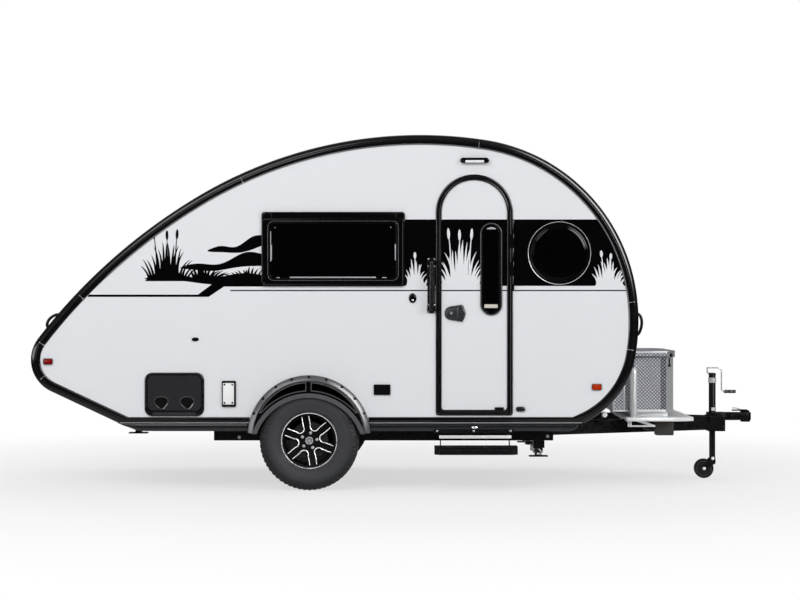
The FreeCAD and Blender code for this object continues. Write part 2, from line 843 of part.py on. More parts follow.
def make_cabin():
    node(side_wall(RIGHT), "side_wall_right")
    node(side_wall(LEFT), "side_wall_left")
    vent = D["vent_half"]
    vent_hole = box(D["vent_x"] - vent, D["vent_x"] + vent, -vent, vent, D["apex_z"] - 300, D["apex_z"])
    node(cut(skin_panel([("roof", BACK, BROW)]), [vent_hole]), "roof_panel")
    front = skin_panel([("brow", BROW, PROW), ("prow", PROW, CHIN), ("chin", CHIN, 173)])
    gazer = pane_cutter("brow", D["stargazer_from"], D["stargazer_to"], D["stargazer_y"])
    node(cut(front, [gazer]), "front_panel")
    rear = skin_panel([("tail", BELLY, TAIL), ("back", TAIL, BACK)], D["floor_low"])
    view = pane_cutter("back", -D["rear_pane_to"], -D["rear_pane_from"], D["rear_pane_y"])
    node(cut(rear, [view]), "rear_panel")
    node(floor_panel(), "floor_panel")
    node(pair(wheel_well()), "wheel_wells")
    node(pair(edge_trim()), "edge_trim")
    node(pair(side_skirt()), "side_skirts")


# ---------------------------------------------------------------- windows

def side_window_frame():
    """A frame on the wall with a sleeve through the hole."""
    frame = body("window_frame")
    face = sketch(frame, "side", -D["wall_y"])
    draw_window(face, 0, D["window_corner"])
    draw_window(face, D["window_band"], D["window_band"])
    pad(frame, face, D["window_proud"])
    sleeve = sketch(frame, "side", -WALL_IN)
    draw_window(sleeve, D["window_lap"], D["window_corner"])
    draw_window(sleeve, D["window_band"], D["window_band"])
    pad(frame, sleeve, D["wall_thick"])
    return frame


def side_window_pane():
    pane = body("window_pane")
    face = sketch(pane, "side", -D["wall_y"])
    draw_window(face, D["window_band"], D["window_band"])
    pad(pane, face, D["glass_thick"])
    return pane


def porthole_ring():
    ring = body("porthole_ring")
    centre = (D["porthole_x"], D["porthole_z"])
    face = sketch(ring, "side", -D["wall_y"])
    draw_circle(face, *centre, D["porthole_r"])
    draw_circle(face, *centre, D["porthole_glass"])
    pad(ring, face, D["window_proud"])
    sleeve = sketch(ring, "side", -WALL_IN)
    draw_circle(sleeve, *centre, D["porthole_r"] - D["window_lap"])
    draw_circle(sleeve, *centre, D["porthole_glass"] - 4)
    pad(ring, sleeve, D["wall_thick"])
    return ring


def curved_pane(arc, start, stop, half):
    """A pane bent to the skin, standing a little proud of it."""
    pane = body("curved_pane")
    strip = sketch(pane, "side", half)
    draw_skin(strip, D["skin_inset"] - 3, D["skin_inset"] + D["glass_thick"], [(arc, start, stop)])
    pad(pane, strip, half * 2)
    return pane


def make_windows():
    frame = side_window_frame()
    ring = porthole_ring()
    node(group([frame, mirror(frame), ring, mirror(ring)]), "window_frames")
    pane = side_window_pane()
    glass = rod("y", D["porthole_x"], -(D["wall_y"] + D["glass_thick"]), D["porthole_z"],
                D["porthole_glass"], D["glass_thick"])
    node(group([pane, mirror(pane), glass, mirror(glass)]), "window_panes")
    front = curved_pane("brow", D["stargazer_from"], D["stargazer_to"], D["stargazer_y"])
    node(front, "front_window")
    rear = curved_pane("back", -D["rear_pane_to"], -D["rear_pane_from"], D["rear_pane_y"])
    node(rear, "rear_window")


# ---------------------------------------------------------------- roof vent

def roof_height(x):
    """Top of the roof skin over a point."""
    across = x - D["apex_x"]
    radius = D["roof_r"] - D["skin_inset"]
    return D["apex_z"] - D["roof_r"] + root(radius * radius - across * across)


def make_vent():
    x = D["vent_x"]
    half = D["vent_half"]
    outer = half + D["vent_band"]
    low = roof_height(x - outer)
    seat = D["apex_z"] + D["vent_rise"]
    top = seat + D["lid_rise"]
    lug = D["vent_lug"]
    hinge = D["vent_hinge_r"]
    lap = outer + hinge + 1
    axis_x, axis_z = x + lap + hinge, seat + hinge
    block = box(x - outer, x + outer, -outer, outer, low - 1, seat)
    room = box(x - half, x + half, -half, half, low - SKIN_IN, seat + 1)
    under = body("roof_form")
    strip = sketch(under, "side", outer * 2)
    draw_skin(strip, D["skin_inset"], SKIN_IN * 4, [("roof", BACK, BROW)])
    pad(under, strip, outer * 4)
    fixed = [
        rod("y", axis_x, -lug, axis_z, hinge, lug * 2),
        box(x + outer - 1, axis_x, -lug, lug, seat - hinge * 2, seat),
        box(x + lap, axis_x, -lug, lug, seat - hinge * 2, axis_z),
        rod("y", axis_x, -lug * 2, axis_z, hinge / 2, lug * 4),
    ]
    node(fuse([cut(block, [room, under])] + fixed), "roof_vent_base")
    lid = box(x - lap, x + lap, -lap, lap, seat + D["lid_gap"], top)
    wall = lap - D["vent_wall"] * 3
    hollow = box(x - wall, x + wall, -wall, wall, seat, top - D["vent_wall"])
    tabs = []
    for y in (-lug * 2, lug + 1):
        tabs.append(rod("y", axis_x, y, axis_z, hinge, lug - 1))
        tabs.append(box(x + lap - 1, axis_x, y, y + lug - 1, seat + 2, axis_z + hinge))
    bore = rod("y", axis_x, -lug * 2 - 1, axis_z, hinge / 2 + D["pin_gap"], lug * 4 + 2)
    node(cut(fuse([lid] + tabs), [hollow, bore]), "roof_vent_lid")


# ---------------------------------------------------------------- door

def door_frame():
    frame = body("door_frame")
    face = sketch(frame, "side", -D["wall_y"])
    draw_door(face, 0)
    draw_door(face, D["frame_band"])
    pad(frame, face, D["frame_proud"])
    jamb = sketch(frame, "side", -WALL_IN)
    draw_door(jamb, D["frame_band"] / 2)
    draw_door(jamb, D["frame_band"])
    pad(frame, jamb, D["wall_thick"])
    return frame


LEAF = D["frame_band"] + D["door_gap"]


def draw_handle(drawing, inset, short=0):
    """The handle's outline, drawn in by inset: round behind, with two corners ahead."""
    x0 = D["handle_x"] + inset
    x1 = D["handle_x"] + D["handle_wide"] - inset - short
    z0 = D["handle_low"] + inset
    z1 = D["handle_low"] + D["handle_high"] - inset
    radius = (z1 - z0) / 2
    corner = D["handle_corner"] - inset / 2
    draw(drawing, [
        ("line", x0 + radius, z0),
        ("left", x1 - corner, z0, x1 - corner, z0 + corner),
        ("line", x1, z0 + corner),
        ("left", x1, z1 - corner, x1 - corner, z1 - corner),
        ("line", x1 - corner, z1),
        ("left", x0 + radius, z1, x0 + radius, z0 + radius),
    ])


def draw_door_pane(drawing, inset):
    x0 = D["pane_x"] + inset
    x1 = D["pane_x"] + D["pane_wide"] - inset
    draw_pill(drawing, x0, x1, D["pane_low"] + inset, D["pane_top"] - inset)


def door_leaf():
    leaf = body("door_leaf")
    face = sketch(leaf, "side", -WALL_IN)
    draw_door(face, LEAF)
    draw_door_pane(face, D["pane_band"])
    pad(leaf, face, D["wall_thick"])
    return leaf


HINGE_X = D["door_x"] + D["door_wide"] + D["hinge_r"] / 2
HINGE_Y = -(D["wall_y"] + D["frame_proud"] + D["hinge_r"])
KNUCKLES = 5


def knuckles(which):
    """Every other knuckle of the hinge, each with the tab that carries it."""
    pitch = (D["hinge_high"] - D["hinge_low"]) / KNUCKLES
    tall = pitch - 1
    tabs = []
    for index in which:
        low = D["hinge_low"] + pitch * index
        tabs.append(rod("z", HINGE_X, HINGE_Y, low, D["hinge_r"], tall))
        if index % 2:
            tabs.append(box(D["door_x"] + D["door_wide"] - LEAF - D["edge_band"] / 2, HINGE_X,
                            HINGE_Y - D["hinge_r"], HINGE_Y - D["hinge_r"] + 3, low, low + tall))
            tabs.append(box(D["door_x"] + D["door_wide"] - LEAF - D["edge_band"] / 2,
                            D["door_x"] + D["door_wide"] - LEAF,
                            HINGE_Y - D["hinge_r"], -D["wall_y"], low, low + tall))
        else:
            tabs.append(box(HINGE_X - D["hinge_r"], HINGE_X + D["hinge_r"],
                            HINGE_Y, -D["wall_y"], low, low + tall))
    return tabs


def hinge_bore(gap):
    return rod("z", HINGE_X, HINGE_Y, D["hinge_low"] - 1, D["pin_r"] + gap,
               D["hinge_high"] - D["hinge_low"] + 2)


def make_door():
    pin = rod("z", HINGE_X, HINGE_Y, D["hinge_low"], D["pin_r"],
              D["hinge_high"] - D["hinge_low"] - 1)
    node(fuse([door_frame(), pin] + knuckles([0, 2, 4])), "door_frame")
    node(door_leaf(), "door_leaf")
    ring = body("door_ring")
    face = sketch(ring, "side", -D["wall_y"])
    draw_door(face, LEAF)
    draw_door(face, LEAF + D["edge_band"])
    pad(ring, face, D["frame_proud"])
    edge = cut(fuse([ring] + knuckles([1, 3])), [hinge_bore(D["pin_gap"])])
    rim = body("door_window_rim")
    face = sketch(rim, "side", -D["wall_y"])
    draw_door_pane(face, 0)
    draw_door_pane(face, D["pane_band"])
    pad(rim, face, D["frame_proud"])
    node(group([edge, rim]), "door_mouldings")
    pane = body("door_window")
    face = sketch(pane, "side", -WALL_IN)
    draw_door_pane(face, D["pane_band"])
    pad(pane, face, D["wall_thick"] + 2)
    node(pane, "door_window")
    handle = body("door_handle")
    face = sketch(handle, "side", -D["wall_y"])
    draw_handle(face, as_size(0))
    pad(handle, face, D["handle_proud"])
    paddle = sketch(handle, "side", -(D["wall_y"] + D["handle_proud"]))
    draw_handle(paddle, D["paddle_in"], D["paddle_short"])
    pad(handle, paddle, D["paddle_proud"])
    node(handle, "door_handle")


# ---------------------------------------------------------------- wheels and axle

def wheel_section(owner, points):
    """A section to turn about the wheel's axle; the points give (out from the tyre's middle, radius)."""
    section = sketch(owner, "plan", D["tyre_r"])
    outline = [(kind, D["wheel_x"] + radius, -(D["tyre_y"] + out)) for kind, out, radius in points]
    draw(section, outline)
    return section


def turned(name, points):
    """A solid of revolution about the axle line of the right wheel."""
    owner = body(name)
    section = wheel_section(owner, points)
    line = sketch(owner, "plan", D["tyre_r"])
    line.addGeometry(Part.LineSegment(FreeCAD.Vector(0, 0, 0), FreeCAD.Vector(0, -100, 0)), False)
    pin_point(line, 0, 1, D["wheel_x"], as_size(0))
    pin_point(line, 0, 2, D["wheel_x"], as_size(-100))
    revolve(owner, section, (line, ["Edge1"]))
    return owner


def tyre():
    half = D["tyre_wide"] / 2
    seat = D["rim_wide"] / 2 - 6.3
    r = D["tyre_r"]
    return turned("tyre", [
        ("line", -seat, D["bead_r"]),
        ("line", -seat, D["flange_r"] + 2),
        ("line", -half, D["bead_r"] + 64),
        ("line", -half + 4, r - 40),
        ("line", -half + 30, r),
        ("line", half - 30, r),
        ("line", half - 4, r - 40),
        ("line", half, D["bead_r"] + 64),
        ("line", seat, D["flange_r"] + 2),
        ("line", seat, D["bead_r"]),
        ("line", half - 46, D["bead_r"]),
        ("line", half - 30, r - 14),
        ("line", -half + 30, r - 14),
        ("line", -half + 46, D["bead_r"]),
    ])


SPOKES = 6
FIRST_OPENING = 9.5
FACE_OUT = 74.0
FACE_THICK = 26.0


def rim():
    """Barrel with flanges and a drop centre, and a face with six U-shaped openings."""
    half = D["rim_wide"] / 2
    bead = D["bead_r"] - 0.2
    flange = D["flange_r"]
    barrel = turned("barrel", [
        ("line", -half, flange),
        ("line", -half, bead - 10),
        ("line", -half + 60, bead - 24),
        ("line", half - 46, bead - 24),
        ("line", half - 32, bead - 12),
        ("line", half, bead - 12),
        ("line", half, flange),
        ("line", half - 6, flange),
        ("line", half - 6, bead),
        ("line", half - 38, bead),
        ("line", half - 52, bead - 18),
        ("line", -half + 62, bead - 18),
        ("line", -half + 6, bead),
        ("line", -half + 6, flange),
    ])
    face = body("wheel_face")
    disc = sketch(face, "side", -(D["tyre_y"] + FACE_OUT - FACE_THICK))
    draw_circle(disc, D["wheel_x"], D["tyre_r"], bead - 8)
    draw_circle(disc, D["wheel_x"], D["tyre_r"], D["hub_bore"])
    pad(face, disc, FACE_THICK)
    hole = sketch(face, "side", -(D["tyre_y"] + FACE_OUT - FACE_THICK))
    x, z = D["wheel_x"], D["tyre_r"]
    draw(hole, [
        ("left", x - 30, z + 110, x, z + 110),
        ("line", x + 30, z + 110),
        ("left", x + 66, z + 178, x, z),
        ("line", x - 66, z + 178),
    ])
    opening = pocket(face, hole, FACE_THICK, back=True)
    line = sketch(face, "plan", D["tyre_r"])
    line.addGeometry(Part.LineSegment(FreeCAD.Vector(0, 0, 0), FreeCAD.Vector(0, -100, 0)), False)
    pin_point(line, 0, 1, D["wheel_x"], as_size(0))
    pin_point(line, 0, 2, D["wheel_x"], as_size(-100))
    ring = face.newObject("PartDesign::PolarPattern", "openings")
    ring.Originals = [opening]
    ring.Axis = (line, ["Edge1"])
    ring.Angle = 360
    ring.Occurrences = SPOKES
    face.Tip = ring
    cap = rod("y", D["wheel_x"], -(D["tyre_y"] + FACE_OUT + 6), D["tyre_r"], D["hub_bore"] + 1, 12)
    wheel = fuse([barrel, face, cap])
    centre = FreeCAD.Vector(D["wheel_x"].number, 0, D["tyre_r"].number)
    turn = FreeCAD.Rotation(FreeCAD.Vector(0, 1, 0), 180 / SPOKES - FIRST_OPENING)
    wheel.Placement = FreeCAD.Placement(FreeCAD.Vector(0, 0, 0), turn, centre)
    return wheel


HUB_OUT = FACE_OUT - FACE_THICK


def hub():
    """Brake drum with a bore that runs on the spindle."""
    bore = D["spindle_r"] + D["pin_gap"]
    return turned("hub", [
        ("line", HUB_OUT - 78, D["drum_r"]),
        ("line", HUB_OUT - 78, D["drum_r"] - 8),
        ("line", HUB_OUT - 12, D["drum_r"] - 12),
        ("line", HUB_OUT - 12, 40),
        ("line", HUB_OUT - 70, 40),
        ("line", HUB_OUT - 70, bore),
        ("line", HUB_OUT + 12, bore),
        ("line", HUB_OUT + 12, D["hub_bore"] - 1),
        ("line", HUB_OUT, D["hub_bore"] - 1),
        ("line", HUB_OUT, D["drum_r"]),
    ])


def make_wheels():
    rolling = {"tyre": tyre(), "rim": rim(), "hub": hub()}
    for name, piece in rolling.items():
        node(piece, f"{name}_right")
        node(mirror(piece), f"{name}_left")
    beam_x = D["wheel_x"] + D["axle_ahead"]
    half = D["axle_size"] / 2
    span = D["arm_y"]
    beam = box(beam_x - half, beam_x + half, -span, span, D["axle_z"] - half, D["axle_z"] + half)
    room = box(beam_x - half + D["steel"], beam_x + half - D["steel"], -span - 1, span + 1,
               D["axle_z"] - half + D["steel"], D["axle_z"] + half - D["steel"])
    saddles = []
    for side in (RIGHT, LEFT):
        y0, y1 = sorted(((D["rail_y"] - D["rail_wide"]) * side, D["rail_y"] * side),
                        key=lambda size: size.number)
        saddles.append(box(beam_x - 110, beam_x + 250, y0 + 2, y1 - 2,
                           D["axle_z"] + half, D["rail_low"]))
    node(fuse([cut(beam, [room])] + saddles), "axle_beam")
    arm = body("arm")
    plate = sketch(arm, "side", -D["arm_y"])
    x, z = D["wheel_x"], D["tyre_r"]
    rise = D["tyre_r"] - D["axle_z"]
    length = root(rise * rise + D["axle_ahead"] * D["axle_ahead"])
    ux, uz = D["axle_ahead"] / length, -rise / length
    r = D["arm_eye_r"]
    draw(plate, [
        ("line", x + uz * r, z - ux * r),
        ("left", beam_x + uz * r, D["axle_z"] - ux * r, beam_x, D["axle_z"]),
        ("line", beam_x - uz * r, D["axle_z"] + ux * r),
        ("left", x - uz * r, z + ux * r, x, z),
    ])
    pad(arm, plate, D["arm_thick"])
    stub = rod("y", x, -(D["tyre_y"] + HUB_OUT + 8), z, D["spindle_r"],
               D["tyre_y"] + HUB_OUT + 8 - D["arm_y"] - 1)
    torsion_half = D["torsion_half"]
    torsion = box(beam_x - torsion_half, beam_x + torsion_half,
                  -(D["arm_y"] + 1), -(D["arm_y"] - D["torsion_long"]),
                  D["axle_z"] - torsion_half, D["axle_z"] + torsion_half)
    node(pair(fuse([arm, stub, torsion])), "trailing_arms")


# ---------------------------------------------------------------- fenders

def draw_fender(drawing, top, lip, low):
    """Between an arch about the wheel arch's centre and the flatter lip below it."""
    top_drop = low - D["arch_z"]
    lip_rise = low - D["lip_z"]
    top_half = root(top * top - top_drop * top_drop)
    lip_half = root(lip * lip - lip_rise * lip_rise)
    x = D["arch_x"]
    draw(drawing, [
        ("line", x + lip_half, low),
        ("left", x + top_half, low, x, D["arch_z"]),
        ("line", x - top_half, low),
        ("right", x - lip_half, low, x, D["lip_z"]),
    ])


def draw_slot(drawing, side, rim):
    """One long slot of the fender, between the arch and the lip; rim is how far outside it to stay."""
    x = D["arch_x"]
    upper = D["slot_top_r"] + rim
    lower = D["slot_low_r"] - rim
    post = D["slot_post"] / 2 - rim
    end_z = D["slot_end_z"] - rim
    foot = post_height(lower, D["lip_z"], post)
    crown = post_height(upper, D["arch_z"], post)
    near = reach_across(lower, D["lip_z"], end_z)
    far = reach_across(upper, D["arch_z"], end_z)
    out, home = ("right", "left") if side > 0 else ("left", "right")
    draw(drawing, [
        (out, x + post * side, foot, x, D["lip_z"]),
        ("line", x + near * side, end_z),
        (home, x + far * side, end_z, x, D["arch_z"]),
        ("line", x + post * side, crown),
    ])


def post_height(radius, centre_z, across):
    return centre_z + root(radius * radius - across * across)


def reach_across(radius, centre_z, z):
    rise = z - centre_z
    return root(radius * radius - rise * rise)


def fender():
    """A hollow flare with two long slots in its face, each framed by a thin rib."""
    top = D["fender_r"] - D["fender_band"]
    rib = D["slot_rib"]
    deep = D["fender_y"] - D["wall_y"] - D["slot_rib_proud"]
    shell = body("fender")
    block = sketch(shell, "side", -D["wall_y"])
    draw_fender(block, top, D["lip_r"], D["fender_low"])
    pad(shell, block, deep)
    room = sketch(shell, "side", -D["wall_y"])
    wall = D["fender_wall"]
    draw_fender(room, top - wall, D["lip_r"] - 40, D["fender_low"] - 60)
    pocket(shell, room, deep - wall, back=True)
    for side in (RIGHT, LEFT):
        frame = sketch(shell, "side", -(D["wall_y"] + deep))
        draw_slot(frame, side, rib)
        draw_slot(frame, side, as_size(0))
        pad(shell, frame, D["slot_rib_proud"])
        slot = sketch(shell, "side", -D["wall_y"])
        draw_slot(slot, side, as_size(0))
        pocket(shell, slot, deep + 1, back=True)
    lip = sketch(shell, "side", -(D["wall_y"] + deep))
    draw_lip(lip)
    pad(shell, lip, D["slot_rib_proud"])
    return shell


def draw_lip(drawing):
    """The thicker band along the lower edge of the fender."""
    x = D["arch_x"]
    low = D["fender_low"]
    inner, outer = D["lip_r"], D["lip_r"] + D["lip_band"]
    near = reach_across(inner, D["lip_z"], low)
    far = reach_across(outer, D["lip_z"], low)
    draw(drawing, [
        ("line", x + near, low),
        ("left", x + far, low, x, D["lip_z"]),
        ("line", x - far, low),
        ("right", x - near, low, x, D["lip_z"]),
    ])


def fender_flange():
    flange = body("flange")
    face = sketch(flange, "side", -D["wall_y"])
    inner = D["fender_r"] - D["fender_band"]
    drop = D["fender_low"] - D["arch_z"]
    out_half = root(D["fender_r"] * D["fender_r"] - drop * drop)
    in_half = root(inner * inner - drop * drop)
    x = D["arch_x"]
    draw(face, [
        ("line", x + in_half, D["fender_low"]),
        ("left", x + out_half, D["fender_low"], *ARCH),
        ("line", x - out_half, D["fender_low"]),
        ("right", x - in_half, D["fender_low"], *ARCH),
    ])
    pad(flange, face, D["trim_proud"] + 4)
    return flange


def make_fenders():
    right = fuse([fender(), fender_flange()])
    node(pair(right), "fenders")


# ---------------------------------------------------------------- chassis

def channel(x0, x1, y_web, wide, z0, z1):
    """A C-section along X, with its web at y_web and its flanges towards the middle."""
    owner = body("channel")
    end = sketch(owner, "end", x0)
    steel = D["steel"]
    draw(end, [
        ("line", y_web, z0),
        ("line", y_web + wide, z0),
        ("line", y_web + wide, z0 + steel),
        ("line", y_web + steel, z0 + steel),
        ("line", y_web + steel, z1 - steel),
        ("line", y_web + wide, z1 - steel),
        ("line", y_web + wide, z1),
        ("line", y_web, z1),
    ])
    pad(owner, end, x1 - x0)
    return owner


def crossmember(x, z0, z1, half):
    """A C-section across the chassis, open to the rear."""
    steel = D["steel"]
    wide = D["cross_wide"]
    owner = body("crossmember")
    side = sketch(owner, "side", half)
    draw(side, [
        ("line", x, z0),
        ("line", x + wide, z0),
        ("line", x + wide, z1),
        ("line", x, z1),
        ("line", x, z1 - steel),
        ("line", x + wide - steel, z1 - steel),
        ("line", x + wide - steel, z0 + steel),
        ("line", x, z0 + steel),
    ])
    pad(owner, side, half * 2)
    return owner


# crossmembers between the deep part of the rails, and between their shallow tails: back face
CROSSMEMBERS = [-1400.0, -1060.0, -330.0, 330.0, 1070.5]
TAIL_CROSSMEMBERS = [-1940.0]


def drawbar():
    bar = body("drawbar")
    plan = sketch(bar, "plan", D["bar_low"])
    run = D["bar_tip_x"] - D["rail_front"]
    spread = D["bar_back_y"] - D["bar_tip_y"]
    across = D["bar_wide"] * root(run * run + spread * spread) / run
    draw(plan, [
        ("line", D["rail_front"], -D["bar_back_y"]),
        ("line", D["rail_front"], -(D["bar_back_y"] + across)),
        ("line", D["bar_tip_x"], -(D["bar_tip_y"] + across)),
        ("line", D["bar_tip_x"], -D["bar_tip_y"]),
    ])
    pad(bar, plan, D["bar_deep"])
    notch = box(D["rail_front"] - 1, D["bar_step_x"], -1000, 0,
                D["bar_step_z"], D["bar_low"] + D["bar_deep"] + 1)
    return cut(bar, [notch])


def make_chassis():
    rail = channel(D["rail_back"], D["rail_front"], -D["rail_y"], D["rail_wide"],
                   D["rail_low"], D["floor_low"])
    tail = channel(D["tail_rail_back"], D["rail_back"], -D["rail_y"], D["rail_wide"],
                   D["tail_rail_low"], D["floor_low"])
    node(pair(fuse([rail, tail])), "chassis_rails")
    half = D["rail_y"] - D["rail_wide"]
    members = [crossmember(as_size(x), D["floor_low"] - D["cross_deep"], D["floor_low"], half)
               for x in CROSSMEMBERS]
    members += [crossmember(as_size(x), D["tail_rail_low"], D["floor_low"], half)
                for x in TAIL_CROSSMEMBERS]
    node(group(members), "crossmembers")
    bar = drawbar()
    node(bar, "drawbar_right")
    node(mirror(bar), "drawbar_left")


# ---------------------------------------------------------------- coupler and jack

def coupler():
    shell = body("coupler")
    wall = D["steel"]
    back = D["bar_tip_x"]
    nose = D["nose_x"] - D["ball_x"]
    half = D["coupler_half"]
    x = D["ball_x"]
    low = D["bar_low"] + D["bar_deep"] - 32
    boss_top = D["coupler_top"] - 2

    def outline(drawing, inset):
        draw(drawing, [
            ("line", back, -(half - inset)),
            ("left", x, -(nose - inset), x, as_size(0)),
            ("line", x, nose - inset),
            ("line", back, half - inset),
        ])
    solid = sketch(shell, "plan", low)
    outline(solid, as_size(0))
    pad(shell, solid, D["coupler_top"] - low)
    room = sketch(shell, "plan", low)
    outline(room, wall)
    pocket(shell, room, D["coupler_top"] - low - wall, back=True)
    boss = rod("z", x, as_size(0), D["socket_low"], nose - wall - 1, boss_top - D["socket_low"])
    bore = rod("z", x, as_size(0), D["socket_low"] - 1, D["socket_r"], D["socket_deep"])
    return cut(fuse([shell, boss]), [bore])


def bent_rod(points, radius):
    """Straight runs of round bar, joined by balls at the bends. Each point is (x, y, z)."""
    parts = []
    for start, stop in zip(points, points[1:]):
        tube = doc.addObject("Part::Cylinder", "run")
        run = FreeCAD.Vector(*stop) - FreeCAD.Vector(*start)
        tube.Radius = radius
        tube.Height = run.Length
        tube.Placement = FreeCAD.Placement(FreeCAD.Vector(*start),
                                           FreeCAD.Rotation(FreeCAD.Vector(0, 0, 1), run))
        parts.append(tube)
    for point in points[1:-1]:
        ball = doc.addObject("Part::Sphere", "bend")
        ball.Radius = radius
        ball.Placement.Base = FreeCAD.Vector(*point)
        parts.append(ball)
    return fuse(parts)


# bends of the jack's crank, from the middle of the jack's head: x, z
CRANK = [(-22.0, 16.0), (-39.0, 16.0), (-39.0, 56.0), (43.0, 56.0), (73.0, 34.0), (73.0, -118.0),
         (91.0, -131.0)]
JACK_HEAD = 16.0


def jack_tube():
    x = D["jack_x"]
    tube = rod("z", x, 0, D["jack_low"], D["jack_r"], D["jack_top"] - D["jack_low"])
    bore = rod("z", x, 0, D["bar_low"] - 15, D["jack_r"] - D["jack_wall"],
               D["jack_top"] - D["bar_low"] + 5)
    bar_top = D["bar_low"] + D["bar_deep"]
    plates = [box(x - 48, x + 62, -70, 70, bar_top, bar_top + 8),
              box(x - 42, x + 92, -74, 74, D["bar_low"] - 14, D["bar_low"])]
    head = rod("z", x, 0, D["jack_top"], D["jack_r"] - 5, JACK_HEAD)
    return cut(fuse([tube, head] + plates), [bore])


def jack_crank():
    x, z = D["jack_x"].number, D["jack_top"].number
    bends = [(x + ahead, 0, z + up) for ahead, up in CRANK]
    grip = rod("x", D["grip_x"], 0, D["grip_z"], D["grip_r"], D["grip_long"])
    return fuse([bent_rod(bends, D["crank_r"].number), grip])


def caster_fork():
    x = D["jack_x"]
    foot = D["leg_low"] - D["lid_gap"]
    wheel_x = x - D["caster_trail"]
    r = D["caster_r"]
    thick = D["fork_thick"]
    side = D["caster_wide"] / 2 + thick
    fork = body("fork")
    plate = sketch(fork, "side", -side)
    draw(plate, [
        ("line", x + 22, foot),
        ("line", x - 24, foot),
        ("left", wheel_x - 14, r + 8, wheel_x, r),
        ("line", wheel_x + 8, r - 14),
        ("line", x + 22, foot - 44),
    ])
    pad(fork, plate, thick)
    bridge = box(x - 24, x + 22, -(side + thick), side + thick, foot - 7, foot)
    axle = rod("y", wheel_x, -(side + 6), r, D["caster_axle_r"], (side + 6) * 2)
    king = rod("z", x, 0, foot - 4, D["king_r"], D["king_long"])
    return fuse([fork, mirror(fork), bridge, axle, king])


def make_tongue():
    top = D["coupler_top"]
    latch = box(D["latch_x"], D["latch_x"] + D["latch_long"], -D["latch_half"], D["latch_half"],
                top, top + D["latch_high"])
    lever_low = top + D["latch_high"] - 4
    lever = box(D["lever_x"], D["latch_x"] + 5, -D["lever_half"], D["lever_half"],
                lever_low, lever_low + D["lever_thick"])
    node(group([coupler(), fuse([latch, lever])]), "coupler")
    node(jack_tube(), "jack_tube")
    node(jack_crank(), "jack_crank")

    x = D["jack_x"]
    foot = D["leg_low"]
    leg = rod("z", x, 0, foot, D["leg_r"], D["leg_top"] - foot)
    inside = rod("z", x, 0, foot + 24, D["leg_r"] - D["leg_wall"], D["leg_top"] - foot)
    socket = rod("z", x, 0, foot - 1, D["king_r"] + D["pin_gap"], D["king_long"] + 4)
    node(cut(leg, [inside, socket]), "jack_leg")

    node(caster_fork(), "caster_fork")
    wheel_x = x - D["caster_trail"]
    r = D["caster_r"]
    half = D["caster_wide"] / 2
    tread = rod("y", wheel_x, -half, r, r, half * 2)
    hole = rod("y", wheel_x, -(half + 1), r, D["caster_axle_r"] + D["pin_gap"], half * 2 + 2)
    node(cut(tread, [hole]), "caster_wheel")


# ---------------------------------------------------------------- stabilisers

def stabiliser_mount(x, top):
    """A channel across the chassis, open below and outside, with the leg's pin at its inner end."""
    half = D["mount_half"]
    out = D["stab_out"]
    pivot = D["stab_pivot_y"]
    mount = body("mount")
    end = sketch(mount, "end", x - half)
    draw(end, [
        ("line", -out, top - D["mount_shallow"]),
        ("line", -pivot - 30, top - D["mount_shallow"]),
        ("line", -pivot - 16, top - D["mount_deep"]),
        ("line", -pivot + 16, top - D["mount_deep"]),
        ("line", -pivot + 30, top),
        ("line", -out, top),
    ])
    pad(mount, end, half * 2)
    clear = half - D["mount_wall"]
    room = box(x - clear, x + clear, -out - 1, -pivot + 40, top - D["mount_deep"] * 2,
               top - D["mount_wall"])
    pin = rod("x", x - half, -pivot, top - D["stab_drop"], D["stab_pin_r"], half * 2)
    return [cut(mount, [room]), pin]


def stabiliser_leg(x, top):
    half = D["leg_half"]
    out = D["stab_out"]
    pivot = D["stab_pivot_y"]
    low = top - D["mount_deep"] - 2
    beam = box(x - half, x + half, -out, -pivot + 12, low, low + D["leg_thick"])
    foot = box(x - D["foot_half"], x + D["foot_half"], -out - 10, -out - 10 + D["foot_long"],
               low - D["foot_thick"] - 2, low - 2)
    stem = box(x - half - 3, x + half + 3, -out, -out + 60, low - 3, low + 1)
    bore = rod("x", x - half * 2, -pivot, top - D["stab_drop"],
               D["stab_pin_r"] + D["pin_gap"], half * 4)
    return cut(fuse([beam, foot, stem]), [bore])


def make_stabilisers():
    front = (D["front_leg_x"], D["front_leg_top"])
    rear = (D["rear_leg_x"], D["rear_leg_top"])
    x, top = front
    hanger = box(x - 42, x + 42, -D["rail_y"] + 4, -D["rail_y"] + D["rail_wide"],
                 top, D["rail_low"])
    mounts = [fuse(stabiliser_mount(*front) + [hanger]), fuse(stabiliser_mount(*rear))]
    node(group(mounts + [mirror(mount) for mount in mounts]), "stabiliser_mounts")
    for name, origin in (("front", front), ("rear", rear)):
        leg = stabiliser_leg(*origin)
        node(leg, f"stabiliser_{name}_right")
        node(mirror(leg), f"stabiliser_{name}_left")


# ---------------------------------------------------------------- entry step

